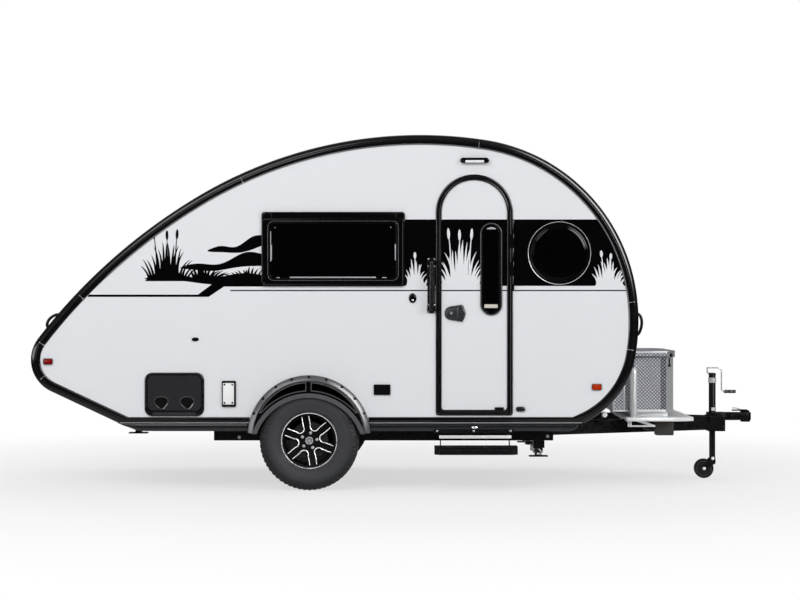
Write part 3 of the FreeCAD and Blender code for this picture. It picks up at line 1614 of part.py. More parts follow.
def step_bracket(arm_xs):
    """The rail under the wall, the hangers with the arms' pins and the bar that spreads them."""
    x0 = D["step_x"] - 6
    x1 = D["step_x"] + D["step_wide"] - 26
    low = D["bracket_low"]
    wall_y = D["wall_y"]
    out = wall_y + D["bracket_out"]
    y = D["arm_pivot_y"]
    z = D["arm_pivot_z"]
    parts = [
        box(x0, x1, -out, -(out - 4), low, low + D["bracket_high"]),
        box(x0, x1, -out, -D["rail_y"], low, low + 6),
        box(arm_xs[0] - 4, arm_xs[1] + 4, -(wall_y + 4), -(wall_y - 6), D["spreader_low"],
            D["spreader_low"] + D["spreader_high"]),
    ]
    for x in arm_xs:
        parts.append(box(x - 14, x - 8, -(wall_y + 4), -D["rail_y"], z - 14, low + 4))
        parts.append(rod("x", x - 12, -y, z, D["step_pin_r"], as_size(24)))
    return fuse(parts)


def step_arm(x):
    """A flat bar with round ends from its pivot down to the tread."""
    y, z = D["arm_pivot_y"], D["arm_pivot_z"]
    foot_y, foot_z = D["arm_foot_y"], D["arm_foot_z"]
    thick = D["step_arm_thick"]
    across, down = foot_y - y, foot_z - z
    length = root(across * across + down * down)
    side_y = down / length * D["step_arm_half"]
    side_z = across / length * D["step_arm_half"]
    arm = body("step_arm")
    end = sketch(arm, "end", x - thick / 2)
    draw(end, [
        ("line", -y + side_y, z + side_z),
        ("left", -foot_y + side_y, foot_z + side_z, -foot_y, foot_z),
        ("line", -foot_y - side_y, foot_z - side_z),
        ("left", -y - side_y, z - side_z, -y, z),
    ])
    pad(arm, end, thick)
    bore = rod("x", x - thick, -y, z, D["step_pin_r"] + D["pin_gap"], thick * 2)
    pin = rod("x", x - thick * 2, -foot_y, foot_z, D["step_foot_r"], thick * 4)
    return fuse([cut(arm, [bore]), pin])


def draw_tread(drawing, inset):
    x0 = D["step_x"] + inset
    x1 = D["step_x"] + D["step_wide"] - inset
    outer = -D["step_y"] + inset
    inner = -(D["step_y"] - D["step_deep"]) - inset
    corner = D["step_corner"]
    draw(drawing, [
        ("line", x0 + corner, outer), ("line", x1 - corner, outer),
        ("line", x1, outer + corner), ("line", x1, inner),
        ("line", x0, inner), ("line", x0, outer + corner),
    ])


def step_tread(arm_xs):
    """A tray turned upside down, with cheeks that carry the arms' lower pins."""
    low = D["step_low"]
    high = low + D["step_thick"]
    wall = D["step_wall"]
    outer = -D["step_y"]
    inner = -(D["step_y"] - D["step_deep"])
    tread = body("tread")
    plan = sketch(tread, "plan", low)
    draw_tread(plan, as_size(0))
    pad(tread, plan, D["step_thick"])
    room = sketch(tread, "plan", low)
    draw_tread(room, wall)
    pocket(tread, room, D["step_thick"] - wall, back=True)
    cheeks = []
    tools = []
    for x in arm_xs:
        for near, far in ((-16, -10), (10, 16)):
            cheeks.append(box(x + near, x + far, outer + 60, inner - wall + 1, low + 10, high - 2))
        tools.append(box(x - 10, x + 10, outer + 20, inner - 20, high - wall - 1, high + 1))
        tools.append(rod("x", x - 20, -D["arm_foot_y"], D["arm_foot_z"],
                         D["step_foot_r"] + D["pin_gap"], as_size(40)))
    return cut(fuse([tread] + cheeks), tools)


def make_step():
    arm_xs = [D["step_arm_x"], D["step_arm_x"] + D["step_arm_gap"]]
    node(step_bracket(arm_xs), "step_bracket")
    node(group([step_arm(x) for x in arm_xs]), "step_arms")
    node(step_tread(arm_xs), "step_tread")


# ---------------------------------------------------------------- deck and tongue box

def draw_box_plan(drawing, inset):
    x0, x1 = D["box_back"] + inset, D["box_front"] - inset
    y = D["box_y"] - inset
    draw(drawing, [
        ("line", x0, -y), ("line", x1 - D["box_cut_x"], -y), ("line", x1, -(y - D["box_cut_y"])),
        ("line", x1, y - D["box_cut_y"]), ("line", x1 - D["box_cut_x"], y), ("line", x0, y),
    ])


def box_knuckle(from_y, to_y, low, high, reach):
    """A stretch of the lid's hinge, with the leaf that carries it."""
    x, z = D["box_back"] - D["box_hinge_r"], D["box_hinge_z"]
    return [rod("y", x, from_y, z, D["box_hinge_r"], to_y - from_y),
            box(x + reach[0], x + reach[1], from_y, to_y, z + low, z + high)]


def tongue_box(axis_x, axis_z, pin_y, fixed_y):
    low = D["box_low"]
    rim = low + D["box_high"] + D["box_rim"]
    shell = body("tongue_box")
    plan = sketch(shell, "plan", low)
    draw_box_plan(plan, as_size(0))
    pad(shell, plan, rim - low)
    room = sketch(shell, "plan", low + D["box_wall"])
    draw_box_plan(room, D["box_wall"])
    pocket(shell, room, rim - low, back=True)
    plinth = box(D["box_back"] + 20, D["box_front"] - 60, -(D["box_y"] - 30), D["box_y"] - 30,
                 D["deck_top"], low)
    tail = body("box_tail")
    side = sketch(tail, "side", D["box_tail_y"])
    draw(side, [
        ("line", D["box_tail_x"], low), ("line", D["box_back"], low),
        ("line", D["box_back"], low + D["box_tail_high"]),
        ("line", D["box_tail_x"], low + D["box_tail_low"]),
    ])
    pad(tail, side, D["box_tail_y"] * 2)
    hinge = D["box_hinge_r"]
    fixed = [rod("y", axis_x, -pin_y, axis_z, hinge / 2, pin_y * 2)]
    for y in fixed_y:
        fixed += box_knuckle(y, y + D["box_knuckle"] * 2, -30, 0, (0, hinge + 1))
    return fuse([shell, plinth, tail] + fixed)


def box_lid(axis_x, axis_z, pin_y, fixed_y):
    low = D["box_low"] + D["box_high"]
    rim = low + D["box_rim"]
    top = low + D["box_lid_top"]
    wall = D["box_wall"]
    hinge = D["box_hinge_r"]
    knuckle = D["box_knuckle"]
    lid = body("lid")
    outer = sketch(lid, "plan", low)
    draw_box_plan(outer, -D["box_lap"])
    pad(lid, outer, D["box_lid_top"])
    room = sketch(lid, "plan", low)
    draw_box_plan(room, wall - D["box_lap"])
    pocket(lid, room, rim + D["lid_gap"] - low, back=True)
    hollow = sketch(lid, "plan", rim)
    draw_box_plan(hollow, wall * 4)
    pocket(lid, hollow, top - wall - rim, back=True)
    heel = box(D["box_back"] - 20, D["box_back"] + 1, -D["deck_y"], D["deck_y"], low - 1, rim + 1)
    tabs = []
    for y in (-knuckle * 3 + 1, knuckle + 1):
        tabs += box_knuckle(y, y + knuckle * 2 - 2, 0, 12, (-hinge, 0))
    bore = rod("y", axis_x, -pin_y - 1, axis_z, hinge / 2 + D["pin_gap"], pin_y * 2 + 2)
    recess = [box(axis_x - hinge - 1, D["box_back"] + 1, y - 1, y + knuckle * 2 + 1,
                  axis_z - 1, axis_z + hinge + 1) for y in fixed_y]
    return cut(fuse([cut(lid, [heel])] + tabs), [bore] + recess)


def make_box():
    knuckle = D["box_knuckle"]
    hinge = (D["box_back"] - D["box_hinge_r"], D["box_hinge_z"], knuckle * 5,
             (-knuckle * 5, -knuckle, knuckle * 3))
    node(tongue_box(*hinge), "tongue_box")
    node(box_lid(*hinge), "box_lid")


def draw_deck(drawing, inset):
    y = D["deck_y"] - inset
    x0, x1 = D["deck_back"] + inset, D["deck_front"] - inset
    c = D["deck_cut"]
    draw(drawing, [
        ("line", x0, -y), ("line", x1 - c * 2, -y), ("line", x1, -(y - c)),
        ("line", x1, y - c), ("line", x1 - c * 2, y), ("line", x0, y),
    ])


def bar_slots(x0, x1, at_x):
    """Cuts in the deck's lip where the two drawbars pass under it."""
    slope = (D["bar_back_y"] - D["bar_tip_y"]) / (D["bar_tip_x"] - D["rail_front"])
    inner = D["bar_tip_y"] + (D["bar_tip_x"] - at_x) * slope
    slots = []
    for side in (RIGHT, LEFT):
        y0, y1 = sorted(((inner - 8) * side, (inner + D["bar_wide"] + 20) * side),
                        key=lambda size: size.number)
        slots.append(box(x0, x1, y0, y1, D["deck_top"] - D["deck_lip"] - 1,
                         D["bar_low"] + D["bar_deep"] + 2))
    return slots


def make_deck():
    top = D["deck_top"]
    under = top - D["deck_thick"]
    deck = body("deck")
    plan = sketch(deck, "plan", top - D["deck_lip"])
    draw_deck(plan, as_size(0))
    pad(deck, plan, D["deck_lip"])
    room = sketch(deck, "plan", top - D["deck_lip"])
    draw_deck(room, D["deck_thick"])
    pocket(deck, room, D["deck_lip"] - D["deck_thick"], back=True)
    slots = bar_slots(D["deck_front"] - 10, D["deck_front"] + 1, D["deck_front"])
    slots += bar_slots(D["deck_back"] - 1, D["deck_back"] + 10, D["deck_back"])
    node(cut(deck, slots), "cargo_deck")
    half = D["deck_y"] - D["gusset_in"]
    beams = []
    for x in (D["deck_back"] + 60, D["deck_front"] - D["deck_cut"] * 2 - 24):
        beams.append(box(x, x + D["deck_beam"], -half, half, D["bar_low"] + D["bar_deep"], under))
    gusset = body("gusset")
    side = sketch(gusset, "side", -(D["deck_y"] - D["gusset_in"]))
    x = D["gusset_x"]
    low = D["gusset_low"]
    draw(side, [
        ("line", x, low), ("line", x + D["gusset_long"], low),
        ("line", x + D["gusset_long"], low + 12), ("line", x + 60, under), ("line", x, under),
    ])
    pad(gusset, side, D["gusset_thick"])
    node(group(beams + [gusset, mirror(gusset)]), "deck_brackets")
    case_y = -D["case_y"]
    node(box(D["case_x"], D["case_x"] + D["case_long"], case_y - D["case_wide"], case_y,
             D["case_low"], under), "equipment_box")


# ---------------------------------------------------------------- fittings

def side_pad(x0, x1, z0, z1, corner, proud):
    owner = body("fitting")
    face = sketch(owner, "side", -D["wall_y"])
    draw_rounded(face, as_size(x0), as_size(x1), as_size(z0), as_size(z1), as_size(corner))
    pad(owner, face, as_size(proud))
    return owner


# side pads: x from, x to, z from, z to, corner, how proud
VENTS = [
    (-1904.0, -1463.5, 543.0, 866.0, 60.0, 8.0),
    (-1333.5, -1229.5, 613.0, 805.0, 8.0, 12.0),
    (-212.0, -89.0, 701.0, 778.0, 6.0, 12.0),
]
RED_MARKER = (-2652.0, -2583.0, 926.0, 970.0, 10.0, 16.0)
AMBER_MARKER = (1398.5, 1471.0, 736.0, 783.0, 10.0, 16.0)
PORCH_LIGHT = (426.0, 640.0, 2412.0, 2452.0, 12.0, 30.0)


def skin_place(thing, arc, heading, offset, y, back=0.0):
    """Stands a piece on the skin: its own +Z along the outward normal, moved back along the skin."""
    x, z, radius = ARCS[arc]
    reach = radius.number + offset
    angle = math.radians(heading)
    base = FreeCAD.Vector(x.number + reach * math.sin(angle), y, z.number + reach * math.cos(angle))
    turn = FreeCAD.Rotation(FreeCAD.Vector(0, 1, 0), heading)
    thing.Placement = FreeCAD.Placement(base - turn.multVec(FreeCAD.Vector(back, 0, 0)), turn)
    return thing


def grab_handle(arc, heading, length):
    """A flat bar on two posts that follows the skin."""
    x, z, radius = ARCS[arc]
    step = math.degrees(length / 2 / radius.number)
    post = math.degrees(D["grab_thick"].number / radius.number)
    seat = radius - D["skin_inset"]
    outer = radius + D["grab_rise"]
    inner = outer - D["grab_thick"]
    start, stop = heading - step, heading + step

    def corner(reach, turn):
        return x + reach * sine(as_size(turn)), z + reach * cosine(as_size(turn))
    owner = body("grab_handle")
    side = sketch(owner, "side", D["grab_y"] + D["grab_wide"] / 2)
    draw(side, [
        ("line", *corner(seat, start)),
        ("right", *corner(outer, start), x, z),
        ("line", *corner(outer, stop)),
        ("line", *corner(seat, stop)),
        ("line", *corner(seat, stop - post)),
        ("left", *corner(inner, stop - post), x, z),
        ("line", *corner(inner, start + post)),
        ("line", *corner(seat, start + post)),
    ])
    pad(owner, side, D["grab_wide"])
    return owner


# arc, heading of the middle, length along the skin
GRAB_HANDLES = [("prow", 91.0, 174.0), ("back", -50.3, 142.0)]


def assist_handle():
    x0, x1 = D["assist_x"], D["assist_x"] + D["assist_wide"]
    low = D["assist_low"]
    high = low + D["assist_high"]
    tall = D["assist_plate"]
    plates = [side_pad(x0, x1, low, low + tall, 8, D["assist_proud"]),
              side_pad(x0, x1, high - tall, high, 8, D["assist_proud"])]
    x = (x0 + D["assist_wide"] / 2).number
    root_y = -(D["wall_y"].number + 8)
    bar_y = -(D["wall_y"] + D["assist_off"]).number
    z0, z1 = (low + tall / 2).number, (high - tall / 2).number
    bends = [(x, root_y, z0), (x, bar_y, z0), (x, bar_y, z1), (x, root_y, z1)]
    return fuse(plates + [bent_rod(bends, D["assist_r"].number)])


# pieces on the back skin: heading; the lamps' radius, height and distance in from the wall;
# the plate holder's height, width, thickness and drop along the skin
LAMP = {"heading": -51.0, "radius": 58.0, "high": 22.0, "in": 245.0}
PLATE = {"heading": -50.0, "high": 160.0, "wide": 310.0, "thick": 6.0, "drop": 80.0}


def rear_lamp(y):
    lamp = doc.addObject("Part::Cylinder", "lamp")
    lamp.Radius = LAMP["radius"]
    lamp.Height = LAMP["high"]
    return skin_place(lamp, "back", LAMP["heading"], -D["skin_inset"].number, y)


def plate_holder():
    plate = doc.addObject("Part::Box", "plate")
    plate.Length = PLATE["high"]
    plate.Width = PLATE["wide"]
    plate.Height = PLATE["thick"]
    seat = D["skin_inset"].number - 0.2
    return skin_place(plate, "back", PLATE["heading"], -seat, -PLATE["wide"] / 2, PLATE["drop"])


def make_fittings():
    node(group([side_pad(*row) for row in VENTS]), "side_vents")
    node(pair(side_pad(*AMBER_MARKER)), "front_lamps")
    node(side_pad(*PORCH_LIGHT), "porch_light")
    handles = [grab_handle(*row) for row in GRAB_HANDLES]
    node(group(handles + [mirror(handle) for handle in handles]), "grab_handles")
    node(assist_handle(), "assist_handle")
    marker = side_pad(*RED_MARKER)
    y = D["wall_y"].number - LAMP["in"]
    node(group([rear_lamp(-y), rear_lamp(y), marker, mirror(marker)]), "rear_lamps")
    node(plate_holder(), "plate_holder")


make_cabin()
make_windows()
make_vent()
make_door()
make_wheels()
make_fenders()
make_chassis()
make_tongue()
make_stabilisers()
make_step()
make_box()
make_deck()
make_fittings()
doc.recompute()
failed = [thing.Name for thing in doc.Objects if {"Invalid", "Error"} & set(thing.State)]
if failed:
    raise SystemExit(f"failed to build: {failed}")
for thing in NODES:
    if thing.Shape.isNull() or not thing.Shape.isValid():
        raise SystemExit(f"{thing.Label} has no valid shape")
os.makedirs("parts", exist_ok=True)
for thing in NODES:
    thing.Shape.exportStep(f"parts/{thing.Label}.step")
print(len(NODES), "nodes")
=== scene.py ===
import random
from math import acos, asin, copysign, cos, degrees, pi, radians, sin, sqrt, tan

import bmesh
import bpy
from mathutils import Matrix, Vector


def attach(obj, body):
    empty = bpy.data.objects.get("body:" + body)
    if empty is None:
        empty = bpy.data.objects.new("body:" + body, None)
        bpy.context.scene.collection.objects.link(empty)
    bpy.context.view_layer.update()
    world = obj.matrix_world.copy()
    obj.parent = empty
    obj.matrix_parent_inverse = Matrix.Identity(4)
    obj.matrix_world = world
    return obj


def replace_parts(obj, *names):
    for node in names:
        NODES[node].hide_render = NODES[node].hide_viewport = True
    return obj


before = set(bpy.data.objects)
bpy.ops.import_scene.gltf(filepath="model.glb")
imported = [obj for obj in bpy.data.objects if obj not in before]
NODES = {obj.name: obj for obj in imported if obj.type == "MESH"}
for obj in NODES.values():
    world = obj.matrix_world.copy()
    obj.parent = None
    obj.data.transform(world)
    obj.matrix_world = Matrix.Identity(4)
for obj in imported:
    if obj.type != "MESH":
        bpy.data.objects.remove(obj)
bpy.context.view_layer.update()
RIGHT, LEFT = -1, 1
SIDES = ((RIGHT, "right"), (LEFT, "left"))

# ---------------------------------------------------------------- sizes, in metres

WALL = 1.005          # outer face of a side wall
DECAL = 0.0006        # film on the wall
WHEEL_X, WHEEL_Z = -0.686, 0.3665
WHEEL_Y = 0.975
TYRE_R = 0.3665
FACE_Y = 0.074        # rim face, out from the middle of the tyre
PANE_Y = 1.012        # face of the side windows' panes
FRAME_Y = 1.0185      # face of the side windows' frames
PORTHOLE = (1.1585, 1.748)
MOULDING_Y = -1.0136  # face of the door's mouldings
DOOR_PANE_Y = -1.007
BOX_Y, LID_Y, TAIL_Y = 0.5, 0.512, 0.46      # sides of the tongue box, its lid and its tail
JACK_X = 2.443
CASTER = (2.375, 0, 0.076)                   # middle of the small wheel


def outline_arcs():
    """The body's outline as arcs that run into each other, from the roof's highest point: the
    centre and radius of each."""
    x, z = 0.1315, 2.623 - 3.2
    arcs = {"roof": (x, z, 3.2)}
    chains = (
        (("brow", 1.333, 8.6), ("prow", 1.447, 78.4), ("chin", 0.671, 100.5)),
        (("back", 4.208, -30.45), ("tail", 0.259, -52.45)),
    )
    for chain in chains:
        x, z, radius = arcs["roof"]
        for name, next_radius, heading in chain:
            x += (radius - next_radius) * sin(radians(heading))
            z += (radius - next_radius) * cos(radians(heading))
            radius = next_radius
            arcs[name] = (x, z, radius)
    return arcs


ARCS = outline_arcs()
BELLY = -154.85       # heading of the straight run under the tail


def facing(heading):
    """The way out of the skin at a heading, in degrees forward from straight up."""
    turn = radians(heading)
    return Vector((sin(turn), 0, cos(turn)))


def arc_point(arc, heading, inset=0.0):
    """A point on the outline, or inset within it."""
    x, z, radius = ARCS[arc]
    turn = radians(heading)
    reach = radius - inset
    return Vector((x + reach * sin(turn), 0, z + reach * cos(turn)))


# ---------------------------------------------------------------- materials

def nodes_of(name):
    """A new material with its nodes, its shader and the coordinates of the object."""
    material = bpy.data.materials.new(name)
    material.use_nodes = True
    tree = material.node_tree
    return material, tree, tree.nodes["Principled BSDF"], tree.nodes.new("ShaderNodeTexCoord")


def link(tree, source, output, target, socket):
    tree.links.new(source.outputs[output], target.inputs[socket])


def noise(tree, place, scale, detail=4.0, rough=0.55, stretch=None):
    """A noise texture in the object's own space."""
    texture = tree.nodes.new("ShaderNodeTexNoise")
    texture.inputs["Scale"].default_value = scale
    texture.inputs["Detail"].default_value = detail
    texture.inputs["Roughness"].default_value = rough
    if stretch:
        mapping = tree.nodes.new("ShaderNodeMapping")
        mapping.inputs["Scale"].default_value = stretch
        link(tree, place, "Object", mapping, "Vector")
        link(tree, mapping, "Vector", texture, "Vector")
    else:
        link(tree, place, "Object", texture, "Vector")
    return texture


def ramp(tree, source, output, low, high, start=0.35, stop=0.65):
    node = tree.nodes.new("ShaderNodeMapRange")
    node.inputs["From Min"].default_value = start
    node.inputs["From Max"].default_value = stop
    node.inputs["To Min"].default_value = low
    node.inputs["To Max"].default_value = high
    link(tree, source, output, node, "Value")
    return node


def blend_colour(tree, factor, output, first, second):
    mix = tree.nodes.new("ShaderNodeMix")
    mix.data_type = "RGBA"
    link(tree, factor, output, mix, "Factor")
    mix.inputs["A"].default_value = (*first, 1)
    mix.inputs["B"].default_value = (*second, 1)
    return mix


def tint(tree, shader, factor, output, first, second):
    link(tree, blend_colour(tree, factor, output, first, second), "Result", shader, "Base Color")


def polish(tree, shader, source, low, high):
    link(tree, ramp(tree, source, "Fac", low, high), "Result", shader, "Roughness")


def bump(tree, shader, source, output, strength, distance, after=None):
    node = tree.nodes.new("ShaderNodeBump")
    node.inputs["Strength"].default_value = strength
    node.inputs["Distance"].default_value = distance
    link(tree, source, output, node, "Height")
    if after:
        link(tree, after, "Normal", node, "Normal")
    link(tree, node, "Normal", shader, "Normal")
    return node


def surface(name, colour, rough, metal=0.0, coat=0.0, vary=0.06, vary_scale=6.0, grain=900.0,
        grain_depth=0.00005, wave=0.0, rough_vary=0.25, stretch=None, shine=0.5):
    """Paint, plastic, rubber or metal: uneven colour and gloss, a fine grain and, for panels, a wave."""
    material, tree, shader, place = nodes_of(name)
    patches = noise(tree, place, vary_scale, 5.0, 0.6, stretch)
    dark = [channel * (1 - vary) for channel in colour]
    light = [min(1.0, channel * (1 + vary)) for channel in colour]
    tint(tree, shader, patches, "Fac", dark, light)
    smear = noise(tree, place, vary_scale * 3.1, 6.0, 0.65, stretch)
    polish(tree, shader, smear, rough * (1 - rough_vary), min(1.0, rough * (1 + rough_vary)))
    shader.inputs["Metallic"].default_value = metal
    shader.inputs["Specular IOR Level"].default_value = shine
    shader.inputs["Coat Weight"].default_value = coat
    shader.inputs["Coat Roughness"].default_value = 0.06
    fine = noise(tree, place, grain, 3.0, 0.6, stretch)
    last = bump(tree, shader, fine, "Fac", 0.6, grain_depth)
    if wave:
        swell = noise(tree, place, 3.0, 2.0, 0.5)
        bump(tree, shader, swell, "Fac", 0.5, wave, last)
    return material


def glass_surface(name):
    """Near-opaque dark acrylic: a deep tint with a hard gloss and faint haze."""
    material, tree, shader, place = nodes_of(name)
    haze = noise(tree, place, 9.0, 5.0, 0.6)
    tint(tree, shader, haze, "Fac", (0.0006, 0.0006, 0.0009), (0.0014, 0.0015, 0.002))
    polish(tree, shader, haze, 0.03, 0.09)
    shader.inputs["IOR"].default_value = 1.45
    shader.inputs["Specular IOR Level"].default_value = 0.12
    swell = noise(tree, place, 5.0, 2.0, 0.5)
    bump(tree, shader, swell, "Fac", 0.3, 0.0006)
    return material


class Value:
    """A number worked out in a shader from other numbers."""

    def __init__(self, tree, socket):
        self.tree, self.socket = tree, socket

    def do(self, kind, *others):
        """The result of a maths node on this number and others."""
        node = self.tree.nodes.new("ShaderNodeMath")
        node.operation = kind
        for index, value in enumerate((self, *others)):
            value = value.socket if isinstance(value, Value) else value
            if isinstance(value, (int, float)):
                node.inputs[index].default_value = value
            else:
                self.tree.links.new(value, node.inputs[index])
        return Value(self.tree, node.outputs[0])

    def __add__(self, other):
        return self.do("ADD", other)

    def __sub__(self, other):
        return self.do("SUBTRACT", other)

    def __rsub__(self, other):
        return Value(self.tree, other) - self

    def __mul__(self, other):
        return self.do("MULTIPLY", other)

    def __abs__(self):
        return self.do("ABSOLUTE")

    def over(self, level):
        return self.do("GREATER_THAN", level)


def axes(tree, source, output):
    """The three parts of a vector."""
    split = tree.nodes.new("ShaderNodeSeparateXYZ")
    link(tree, source, output, split, "Vector")
    return [Value(tree, split.outputs[axis]) for axis in "XYZ"]


def plate_coordinates(tree, place):
    """Distances across and along the plate, whichever way the face looks."""
    x, y, z = axes(tree, place, "Object")
    out_y, out_z = axes(tree, tree.nodes.new("ShaderNodeNewGeometry"), "True Normal")[1:]
    upright = abs(out_z).over(0.7)
    use_x = upright.do("MAXIMUM", abs(out_y).over(0.7))
    return x * use_x + y * (1 - use_x), y * upright + z * (1 - upright)


def tread_plate(name, ground, raised_part, pitch=0.0265):
    """Bright aluminium plate with raised lozenges, each turned a quarter from its neighbours."""
    material, tree, shader, place = nodes_of(name)
    across, along = plate_coordinates(tree, place)
    turned_u = (across + along).do("DIVIDE", pitch)
    turned_v = (across - along).do("DIVIDE", pitch)
    cell_u, cell_v = turned_u.do("FRACT") - 0.5, turned_v.do("FRACT") - 0.5
    odd = (turned_u.do("FLOOR") + turned_v.do("FLOOR") + 2000.0).do("MODULO", 2.0).over(0.5)
    even = 1 - odd
    major = cell_u * odd + cell_v * even
    minor = cell_v * odd + cell_u * even
    spread = abs(major.do("DIVIDE", 0.56)).do("POWER", 2.0) + abs(minor.do("DIVIDE", 0.22))
    height = ramp(tree, spread.socket.node, 0, 0.0, 1.0, 1.1, 0.5)
    height.interpolation_type = "SMOOTHSTEP"
    tint(tree, shader, height, "Result", ground, raised_part)
    scratch = noise(tree, place, 60.0, 6.0, 0.7)
    polish(tree, shader, scratch, 0.24, 0.42)
    shader.inputs["Metallic"].default_value = 0.4
    first = bump(tree, shader, height, "Result", 1.0, 0.002)
    bump(tree, shader, scratch, "Fac", 0.2, 0.0002, first)
    return material


def mesh_grille(name, pitch=0.0042):
    """Black plastic with a fine square mesh of holes."""
    material, tree, shader, place = nodes_of(name)
    across, along = plate_coordinates(tree, place)
    folds = [abs((value * (pi / pitch)).do("SINE")) for value in (across, along)]
    # the holes are painted darker than the mesh, as painted shade
    hole = ramp(tree, folds[0].do("MINIMUM", folds[1]).socket.node, 0, 0.0, 1.0, 0.25, 0.55)
    tint(tree, shader, hole, "Result", (0.0085, 0.009, 0.0115), (0.0012, 0.0012, 0.0016))
    fine = noise(tree, place, 700.0, 3.0, 0.6)
    polish(tree, shader, fine, 0.35, 0.55)
    shader.inputs["Specular IOR Level"].default_value = 0.3
    bump(tree, shader, hole, "Result", -0.8, 0.001)
    return material


def tyre_surface(name):
    """Weathered rubber: blue-grey sidewalls with dust in patches, and painted shade that darkens the tread
    and the shoulder.
    """
    material, tree, shader, place = nodes_of(name)
    dust = noise(tree, place, 14.0, 8.0, 0.7)
    mix = blend_colour(tree, dust, "Fac", (0.026, 0.026, 0.03), (0.037, 0.038, 0.044))
    # distance from the axle, so that the tread and the shoulder are painted darker than the sidewall:
    # painted shade
    centred = tree.nodes.new("ShaderNodeMapping")
    centred.inputs["Location"].default_value = (-WHEEL_X, 0.0, -WHEEL_Z)
    centred.inputs["Scale"].default_value = (1.0, 0.0, 1.0)
    link(tree, place, "Object", centred, "Vector")
    reach = tree.nodes.new("ShaderNodeVectorMath")
    reach.operation = "LENGTH"
    link(tree, centred, "Vector", reach, 0)
    shoulder_shade = ramp(tree, reach, "Value", 0.0, 1.0, 0.285, 0.325)
    shade = tree.nodes.new("ShaderNodeMix")
    shade.data_type = "RGBA"
    link(tree, shoulder_shade, "Result", shade, "Factor")
    link(tree, mix, "Result", shade, "A")
    shade.inputs["B"].default_value = (0.0075, 0.0078, 0.0088, 1)
    link(tree, shade, "Result", shader, "Base Color")
    polish(tree, shader, dust, 0.5, 0.78)
    shader.inputs["Specular IOR Level"].default_value = 0.25
    fine = noise(tree, place, 600.0, 3.0, 0.6)
    bump(tree, shader, fine, "Fac", 0.5, 0.0002)
    return material


def lens_surface(name, colour, ribs=420.0):
    """Moulded lens: a saturated tint over fine vertical ribs."""
    material, tree, shader, place = nodes_of(name)
    patches = noise(tree, place, 40.0, 3.0, 0.5)
    dark = [channel * 0.8 for channel in colour]
    tint(tree, shader, patches, "Fac", dark, colour)
    polish(tree, shader, patches, 0.1, 0.2)
    shader.inputs["Specular IOR Level"].default_value = 0.2
    wave = tree.nodes.new("ShaderNodeTexWave")
    wave.inputs["Scale"].default_value = ribs / 6.28
    link(tree, place, "Object", wave, "Vector")
    bump(tree, shader, wave, "Fac", 0.5, 0.0008)
    return material


WHITE_LOOK = dict(colour=(0.805, 0.81, 0.838), rough=0.26, coat=0.15, vary=0.004, vary_scale=1.2,
                  grain=420.0, grain_depth=0.00001, wave=0.0003, rough_vary=0.03)
WHITE = surface("white_paint", **WHITE_LOOK)
TRIM = surface("trim_black", (0.0026, 0.0026, 0.0032), 0.14, vary=0.15, vary_scale=9.0, grain=700.0,
    grain_depth=0.00001, shine=0.34, rough_vary=0.1)
GLOSS = surface("moulding_black", (0.0018, 0.0018, 0.0022), 0.12, vary=0.2, vary_scale=14.0, grain=1100.0,
    grain_depth=0.00001, shine=0.22, rough_vary=0.1)
BEAD = surface("sealing_bead", (0.045, 0.047, 0.051), 0.25, vary=0.1, vary_scale=20.0, grain=900.0)
SKIRT = surface("skirt_grey", (0.0085, 0.0095, 0.011), 0.22, vary=0.1, grain=500.0, grain_depth=0.00001,
    shine=0.4, rough_vary=0.1)
UNDER = surface("underbody", (0.007, 0.007, 0.007), 0.75, vary=0.2, grain=300.0, grain_depth=0.0003,
    shine=0.15)
GLASS = glass_surface("dark_glass")
PLASTIC = surface("black_plastic", (0.0038, 0.004, 0.005), 0.26, vary=0.15, vary_scale=20.0, grain=1500.0,
    grain_depth=0.00003, shine=0.22)
SATIN = surface("satin_plastic", (0.02, 0.021, 0.024), 0.34, vary=0.1, vary_scale=30.0, grain=1800.0,
    grain_depth=0.00006, shine=0.4)
# light grey seal along the trim: painted reflection
SEAL_SHEEN = surface("trim_seal_sheen", (0.15, 0.153, 0.16), 0.4, vary=0.12, vary_scale=30.0, grain=900.0)
# near-black fill: painted shade in the scoops' mouths, behind the louvres and in the gusset's hole; also
# the case's lid seam and a dark line on the lid
SHADE_AND_SEAM = surface("painted_shade_and_seam", (0.002, 0.002, 0.0022), 0.7, vary=0.3, grain=900.0, shine=0.05)
MESH = mesh_grille("vent_mesh")
FLARE = surface("fender_plastic", (0.088, 0.089, 0.094), 0.24, vary=0.12, vary_scale=8.0, grain=1300.0,
    grain_depth=0.00002, shine=0.5, rough_vary=0.12)
BOLT = surface("bolt_black", (0.003, 0.003, 0.0035), 0.35, vary=0.2, grain=900.0, shine=0.15)
CHASSIS = surface("chassis_black", (0.002, 0.002, 0.0026), 0.3, vary=0.2, vary_scale=8.0, grain=260.0,
    grain_depth=0.00004, shine=0.12)
RUBBER = tyre_surface("tyre_rubber")
RIM = surface("rim_black", (0.003, 0.003, 0.0036), 0.16, vary=0.2, vary_scale=20.0, grain=900.0, shine=0.25)
MACHINED = surface("machined_edge", (0.83, 0.83, 0.84), 0.3, metal=0.85, vary=0.05, vary_scale=30.0,
    grain=1200.0, grain_depth=0.00002)
DRUM = surface("drum_iron", (0.0035, 0.0034, 0.0034), 0.7, metal=0.0, vary=0.35, vary_scale=30.0,
    grain=240.0, grain_depth=0.0003, shine=0.2)
PLATE = tread_plate("tread_plate", (0.24, 0.25, 0.285), (0.84, 0.85, 0.88))
# a darker copy of the tread plate: painted shade
PLATE_SHADED = tread_plate("tread_plate_painted_shade", (0.045, 0.047, 0.058), (0.66, 0.67, 0.71))
